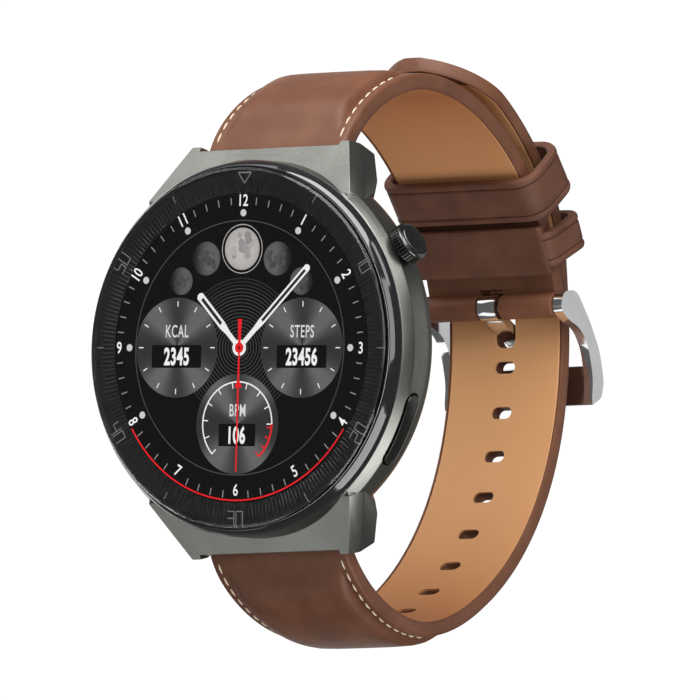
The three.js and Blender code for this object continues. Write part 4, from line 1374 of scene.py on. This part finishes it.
def lining_mesh(name, places, halves):
    """The tan sheet that lies in the strap's inner face."""
    rows = []
    for p, half in zip(places, halves):
        w = max(0.05, half - LINING_INSET - 0.05)
        edge = min(0.12, w / 2)
        right = [(w - edge, 0.01), (w, 0.12), (w, RECESS - 0.03)]
        outline = [(-x, out) for x, out in right[::-1]] + right
        rows.append([p.at(x, out) for x, out in outline])
    return outward(mesh_object(name, *grid(rows, caps=True)))


STITCH_PITCH = 1.6
STITCH_LENGTH = 1.12
STITCH_RADIUS = 0.12
STITCH_INSET = 1.0
STITCH_START = 1.8


def stitch(place_a, place_b, x_a, x_b, thickness):
    """A short rounded thread between two places, sunk at its ends."""
    rows = []
    steps, sides = 6, 8
    a, b = Vector(place_a.at(x_a, thickness)), Vector(place_b.at(x_b, thickness))
    out = Vector((0, *place_a.normal))
    along = (b - a).normalized()
    across = along.cross(out)
    for i in range(steps + 1):
        t = i / steps
        swell = math.sin(math.pi * (0.06 + 0.88 * t)) ** 0.5
        centre = a.lerp(b, t) + out * (STITCH_RADIUS * (swell - 0.62))
        row = []
        for k in range(sides):
            turn = 2 * math.pi * k / sides
            arm = across * math.cos(turn) + out * math.sin(turn)
            row.append(tuple(centre + arm * STITCH_RADIUS * swell))
        rows.append(row)
    return grid(rows, caps=True)


def place_at(places, spots, distance):
    """The place at a distance along a route."""
    for a, b, low, high in zip(places, places[1:], spots, spots[1:]):
        if low <= distance <= high:
            t = (distance - low) / (high - low)
            return Place(a.point.lerp(b.point, t), a.normal.lerp(b.normal, t))
    return places[-1]


def make_stitches(name, places, buckle_half, thickness, end):
    """A row of stitches along each edge of the padded stretch."""
    spots = lengths(places)
    verts, faces = [], []
    for i in range(int((end - STITCH_START) / STITCH_PITCH)):
        low = STITCH_START + i * STITCH_PITCH
        a, b = place_at(places, spots, low), place_at(places, spots, low + STITCH_LENGTH)
        for side in (-1, 1):
            xs = [side * (taper(p.point.y, buckle_half) - STITCH_INSET) for p in (a, b)]
            more, quads = stitch(a, b, *xs, thickness)
            faces += [tuple(len(verts) + k for k in quad) for quad in quads]
            verts += more
    threads = outward(mesh_object(name, verts, faces))
    dress(threads, [THREAD], "watch", [], "strap_leather", 60)


TANG_SLOT_HALF_WIDTH = 1.7
TANG_SLOT_HALF_LENGTH = 1.9
LINING_START = 5  # steps of the route
LINING_SPARE = 6
ROOT_TUBE_RADIUS = 1.35
ROOT_BORE_RADIUS = 1.0
PIN_TUBE_RADIUS = 1.5
PIN_BORE_RADIUS = PIN_RADIUS + 0.1
TUBE_EDGE = 0.22
PAD_START = 2.2
PAD_FULL = 6.5
STRAP_FINISH = [LEATHER, EDGE, PEBBLED]


# ---- short strap
def make_short_strap():
    places = short_route()
    spots = lengths(places)
    root_length = spots[ROOT_STEPS]
    halves = [taper(p.point.y, SHORT_BUCKLE_HALF) for p in places]
    fold = ROOT_STEPS + round(SHORT_STEPS * FOLD_TOP / SHORT_END)
    lined = range(LINING_START, fold)
    recesses = [RECESS if i in lined else 0.0 for i in range(len(places))]
    folded = [i >= fold - 1 for i in range(len(places))]
    pads = [pad_share(s, PAD_START, PAD_FULL, root_length * 0.68, root_length * 1.04) for s in spots]
    strap = strap_mesh("upper_strap", places, halves, SHORT_THICKNESS, recesses, pads, folded)
    add_tube(strap, "root", ROOT_TUBE_RADIUS, STRAP_LUG_HALF, BAR, LEATHER_PICK)
    add_tube(strap, "pin_tube", PIN_TUBE_RADIUS, SHORT_BUCKLE_HALF, PIN, PEBBLED_PICK)
    boolean(strap, rod_x("bore", ROOT_BORE_RADIUS, -30, 30, BAR.y, BAR.z))
    boolean(strap, rod_x("bore", PIN_BORE_RADIUS, -30, 30, PIN.y, PIN.z))
    corners = oblong(TANG_SLOT_HALF_WIDTH, TANG_SLOT_HALF_LENGTH, (0, PIN.y + 0.2))
    boolean(strap, prism("slot", rounded(corners, 0.3, 3), "z", PIN.z - 3, PIN.z + 3))
    dress(strap, STRAP_FINISH, "watch", ["upper_strap_leather"], "strap_leather", 42)
    lining = lining_mesh("upper_lining", places[LINING_START:fold], halves[LINING_START:fold])
    dress(lining, [LINING], "watch", ["upper_strap_lining"], "strap_lining", 35)
    stitched = root_length * 0.80
    make_stitches("upper_stitches", places, SHORT_BUCKLE_HALF, SHORT_THICKNESS, stitched)


# ---- long strap
HOLE_PITCH = 5.52
HOLE_WIDTH = 2.9
HOLE_LENGTH = 1.5
FREE_HOLES = 8
FIRST_FREE_HOLE = 7.25  # distance before the tail's start
USED_HOLE = 2.7
USED_HOLE_LENGTH = 4.4


def hole_tool(places, spots, before_end, length):
    """A cutter for one hole, with round ends where it is wider than long."""
    place = place_at(places, spots, spots[-1] - before_end)
    if length < HOLE_WIDTH:
        shape = pill(HOLE_WIDTH / 2, length / 2 - 0.01)
    else:
        shape = rounded(oblong(HOLE_WIDTH / 2, length / 2), 1.2, 5)
    along = Vector((place.normal.y, -place.normal.x))
    rows = []
    for out in (-2.0, 4.0):
        base = place.point + place.normal * out
        rows.append([(a, base.x + along.x * b, base.y + along.y * b) for a, b in shape])
    tool = outward(mesh_object("hole", *grid(rows, caps=True)))
    pick_all(tool, EDGE_PICK)
    return tool


def make_long_strap():
    places = long_route()
    spots = lengths(places)
    root_length = spots[ROOT_STEPS]
    tail = ROOT_STEPS + SWEEP_STEPS - 1
    halves = [taper(p.point.y, LONG_BUCKLE_HALF) for p in places[:tail]]
    halves += [tail_half(p.point.y) for p in places[tail:]]
    end = len(places) - 1 - LINING_SPARE
    recesses = [RECESS if LINING_START <= i < end else 0.0 for i in range(len(places))]
    pads = [pad_share(s, PAD_START, PAD_FULL, root_length * 1.12, root_length * 1.55) for s in spots]
    folded = [False] * len(places)
    strap = strap_mesh("lower_strap", places, halves, LONG_THICKNESS, recesses, pads, folded)
    bar = Vector((0, -BAR.y, BAR.z))
    add_tube(strap, "root", ROOT_TUBE_RADIUS, STRAP_LUG_HALF, bar, LEATHER_PICK)
    boolean(strap, rod_x("bore", ROOT_BORE_RADIUS, -30, 30, bar.y, bar.z))
    lining = lining_mesh("lower_lining", places[LINING_START:end], halves[LINING_START:end])
    sweep = bezier_places(SWEEP, SWEEP_STEPS, 0.0, -1)
    sweep_spots = lengths(sweep)
    holes = [(USED_HOLE, USED_HOLE_LENGTH)]
    holes += [(FIRST_FREE_HOLE + i * HOLE_PITCH, HOLE_LENGTH) for i in range(FREE_HOLES)]
    for before_end, length in holes:
        for sheet in (strap, lining):
            boolean(sheet, hole_tool(sweep, sweep_spots, before_end, length))
    dress(strap, STRAP_FINISH, "watch", ["lower_strap_leather"], "strap_leather", 42)
    dress(lining, [LINING, EDGE], "watch", ["lower_strap_lining"], "strap_lining", 35)
    stitched = root_length * 1.12
    make_stitches("lower_stitches", places, LONG_BUCKLE_HALF, LONG_THICKNESS, stitched)


# ---- keepers
KEEPER_LENGTH = 5.7
KEEPER_WALL = 1.15
KEEPER_INNER_HALF = 9.65
FREE_KEEPER_INNER_HALF = 10.05
FIXED_WRAP_LENGTH = 4.3
PATCH_LENGTH = 6.0
PATCH_HALF = 9.75
PATCH_THICKNESS = 1.25
KEEPER_STEP = 1.2
FIXED_KEEPER_LOW = -0.2
FREE_KEEPER_LOW = -0.35
STACK = TAIL_INNER + TAIL_BULGE + LONG_THICKNESS  # what the keepers go round


def keeper_path(half, low, high, lower_corner, upper_corner):
    """The opening's outline in (x, out), with the outward direction at each point."""
    corners = [
        (half, low, lower_corner, -90), (half, high, upper_corner, 0),
        (-half, high, upper_corner, 90), (-half, low, lower_corner, 180),
    ]
    path = []
    for x, out, radius, start in corners:
        centre = (math.copysign(abs(x) - radius, x), out + (radius if out == low else -radius))
        for i in range(9):
            a = math.radians(start + 90 * i / 8)
            direction = (math.cos(a), math.sin(a))
            path.append((Vector(centre) + Vector(direction) * radius, Vector(direction)))
    dense = []
    for (p, d), (q, e) in zip(path, path[1:] + path[:1]):
        steps = max(1, round((q - p).length / KEEPER_STEP))
        for k in range(steps):
            dense.append((p.lerp(q, k / steps), d.lerp(e, k / steps).normalized()))
    return dense


def band_section(length):
    """A band's section as (distance from the opening, place along the strap)."""
    half, wall = length / 2, KEEPER_WALL
    side = [
        (0.18, half), (wall - 0.35, half), (wall - 0.12, half - 0.09), (wall, half - 0.32),
        (wall + 0.02, half - 0.58), (wall - 0.06, half - 0.76), (wall - 0.24, half - 0.86),
        (wall - 0.1, half - 0.98), (wall - 0.04, half - 1.2),
    ]
    near = [(0.0, -half + 0.16)] + [(w, -a) for w, a in side]
    far = [(w, a) for w, a in reversed(side)] + [(0.0, half - 0.16)]
    return near + far


def on_loop(degrees, x, out, along):
    """A point of the frame from a place across, out of and along the loop."""
    place = loop_place(degrees)
    outward_axis = Vector((0, *place.normal))
    along_axis = Vector((1, 0, 0)).cross(outward_axis)
    return tuple(Vector((x, *place.point)) + outward_axis * out + along_axis * along)


def keeper_band(name, degrees, length, half, low, high, lower_corner, upper_corner):
    """A leather band with rounded edges and a pressed line near each edge."""
    section = band_section(length)
    rows = []
    for spot, direction in keeper_path(half, low, high, lower_corner, upper_corner):
        flat = [(spot + direction * w, a) for w, a in section]
        rows.append([on_loop(degrees, p.x, p.y, a) for p, a in flat])
    verts, faces = grid(rows, close_rows=True)
    count = len(section)
    picks = [1 if (j < 4 or j >= count - 5) else 0 for _ in rows for j in range(count)]
    return outward(mesh_object(name, verts, faces, picks))


def keeper_patch(degrees, top):
    """The pebbled patch that covers the fixed keeper's ends, with worn corners."""
    low = top - PATCH_THICKNESS
    layers = [
        (0.5, top), (0.12, top), (0.0, top - 0.15), (0.0, low + 0.25),
        (0.1, low + 0.06), (0.34, low), (0.6, low), (0.8, low + 0.04),
    ]
    rows = []
    for inset, out in layers:
        shape = rounded(oblong(PATCH_HALF - inset, PATCH_LENGTH / 2 - inset), 0.4, 3)
        rows.append([on_loop(degrees, x, out, a) for x, a in shape])
    return outward(mesh_object("patch", *grid(rows, caps=True)))


def make_keepers():
    """The fixed keeper, which is a band with an inner patch, and the free keeper."""
    wrap = keeper_band(
        "wrap", FIXED_KEEPER_ANGLE, FIXED_WRAP_LENGTH, KEEPER_INNER_HALF,
        FIXED_KEEPER_LOW, STACK + 0.1, 0.45, 1.6)
    patch = keeper_patch(FIXED_KEEPER_ANGLE, FIXED_KEEPER_LOW)
    for part in (wrap, patch):
        for material in (PEBBLED, EDGE):
            part.data.materials.append(material)
    fixed = joined("fixed_keeper_band", [wrap, patch])
    dress(fixed, [PEBBLED, EDGE], "watch", ["fixed_keeper"], "strap_leather", 40)
    free = keeper_band(
        "free_keeper_band", FREE_KEEPER_ANGLE, KEEPER_LENGTH, FREE_KEEPER_INNER_HALF,
        FREE_KEEPER_LOW, STACK + 0.55, 1.5, 2.4)
    dress(free, [PEBBLED, EDGE], "keeper", ["free_keeper"], "strap_leather", 40)


# ---- buckle
ARM_WIDTH = 1.25
# Outlines in (y, z): an arm of the frame, its far bar and the tang.
ARM = [
    (PIN.y + 1.6, PIN.z + 0.8), (PIN.y + 1.9, PIN.z - 2.0), (5.6, -46.5), (2.2, -48.5),
    (-1.4, -49.4), (-3.4, -48.9), (-4.5, -46.8), (-1.2, -47.1), (2.4, -46.2), (4.6, -44.6),
    (PIN.y - 1.7, PIN.z - 0.2), (PIN.y - 0.6, PIN.z + 1.4),
]
FAR_BAR = [(0.4, -47.1), (0.5, -48.3), (-1.4, -49.4), (-3.4, -48.9), (-4.5, -46.8), (-2.2, -47.5)]
TANG = [
    (PIN.y - 0.9, PIN.z - 0.9), (5.55, -44.2), (3.9, -47.2), (1.6, -49.3), (-1.6, -50.2),
    (-1.9, -49.75), (-1.5, -49.35), (1.2, -48.5), (3.1, -46.6), (4.5, -43.9),
    (PIN.y - 1.6, PIN.z),
]
TANG_EYE_RADIUS = 1.65


def make_buckle():
    """A frame of two arms and a far bar, notched for the tang and bored for the pin."""
    half, inner = BUCKLE_HALF, BUCKLE_HALF - ARM_WIDTH
    shape = rounded(ARM, 1.1, 5)
    buckle = prism("buckle_body", shape, "x", inner, half)
    boolean(buckle, prism("arm", shape, "x", -half, -inner), "UNION")
    boolean(buckle, prism("far", rounded(FAR_BAR, 0.5, 3), "x", -half, half), "UNION")
    boolean(buckle, rod_x("pin_bore", PIN_BORE_RADIUS, -half + 0.5, half - 0.5, PIN.y, PIN.z))
    reach = TANG_HALF + 0.3
    boolean(buckle, prism("notch", oblong(2.6, 1.5, (-0.2, -49.95)), "x", -reach, reach))
    bevel(buckle, 0.22, 3, 35)
    dress(buckle, [STEEL], "buckle", ["buckle_frame"], "bright_steel", 32)


def make_tang():
    """A bent tongue with an eye round the pin."""
    tang = prism("tang_body", rounded(TANG, 0.5, 4), "x", -TANG_HALF, TANG_HALF)
    eye = rod_x("eye", TANG_EYE_RADIUS, -TANG_HALF, TANG_HALF, PIN.y, PIN.z)
    boolean(tang, eye, "UNION")
    boolean(tang, rod_x("eye_bore", PIN_BORE_RADIUS, -9, 9, PIN.y, PIN.z))
    bevel(tang, 0.14, 3, 40)
    dress(tang, [STEEL], "tang", ["buckle_tang"], "bright_steel", 32)


# ---- case back
CONTACT_X = 2.6
CONTACT_Y = -9.4
CONTACT_HOLE_RADIUS = 0.95


def make_back():
    """The sensor's shallow dome, with a hole for each charging contact."""
    window = turned_solid("sensor_dome", [
        (0, 0), (10.5, 0), (11.4, 0.08), (12.2, 0.26), (12.7, 0.5), (13.0, 0.85), (13.0, 1.6), (0, 1.6),
    ])
    for side in (-1, 1):
        hole = cylinder("contact_hole", CONTACT_HOLE_RADIUS, -1, 3, 48)
        hole.data.transform(Matrix.Translation((side * CONTACT_X * MM, CONTACT_Y * MM, 0)))
        boolean(window, hole)
    dress(window, [SENSOR_GLASS], "watch", ["sensor_window"], "sensor_glass", 30)


FRAME_FINISHES = [
    (SEAL, ["glass_gasket", "back_gasket", "crown_o_ring", "button_seal"]),
    (INNER, ["inner_frame", "speaker", "crown_switch", "button_switch"]),
    (BOARD, ["main_board", "heart_sensor_board"]),
    (CELL, ["battery"]),
    (STEEL, [
        "vibration_motor", "crown_tube", "crown_plunger", "crown_stem", "button_stem", "buckle_pin",
        "upper_bar_sleeve", "lower_bar_sleeve", "upper_bar_tip_left", "upper_bar_tip_right",
        "lower_bar_tip_left", "lower_bar_tip_right",
    ]),
    (BACK_STEEL, ["back_cover"]),
    (DARK_STEEL, [f"back_screw_{i}" for i in range(1, 5)]),
    (GOLD, ["charge_contact_1", "charge_contact_2"]),
]


def finish_frame():
    """Materials for the CAD nodes that no detailed piece replaces."""
    for material, nodes in FRAME_FINISHES:
        for node in nodes:
            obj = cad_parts[node]
            obj.data.materials.clear()
            obj.data.materials.append(material)


make_camera()
make_light()
make_floor()
make_case()
make_bezel()
make_glass()
make_ribbed_ring()
make_dial()
make_print()
make_crown()
make_button()
make_short_strap()
make_long_strap()
make_keepers()
make_buckle()
make_tang()
make_back()
finish_frame()
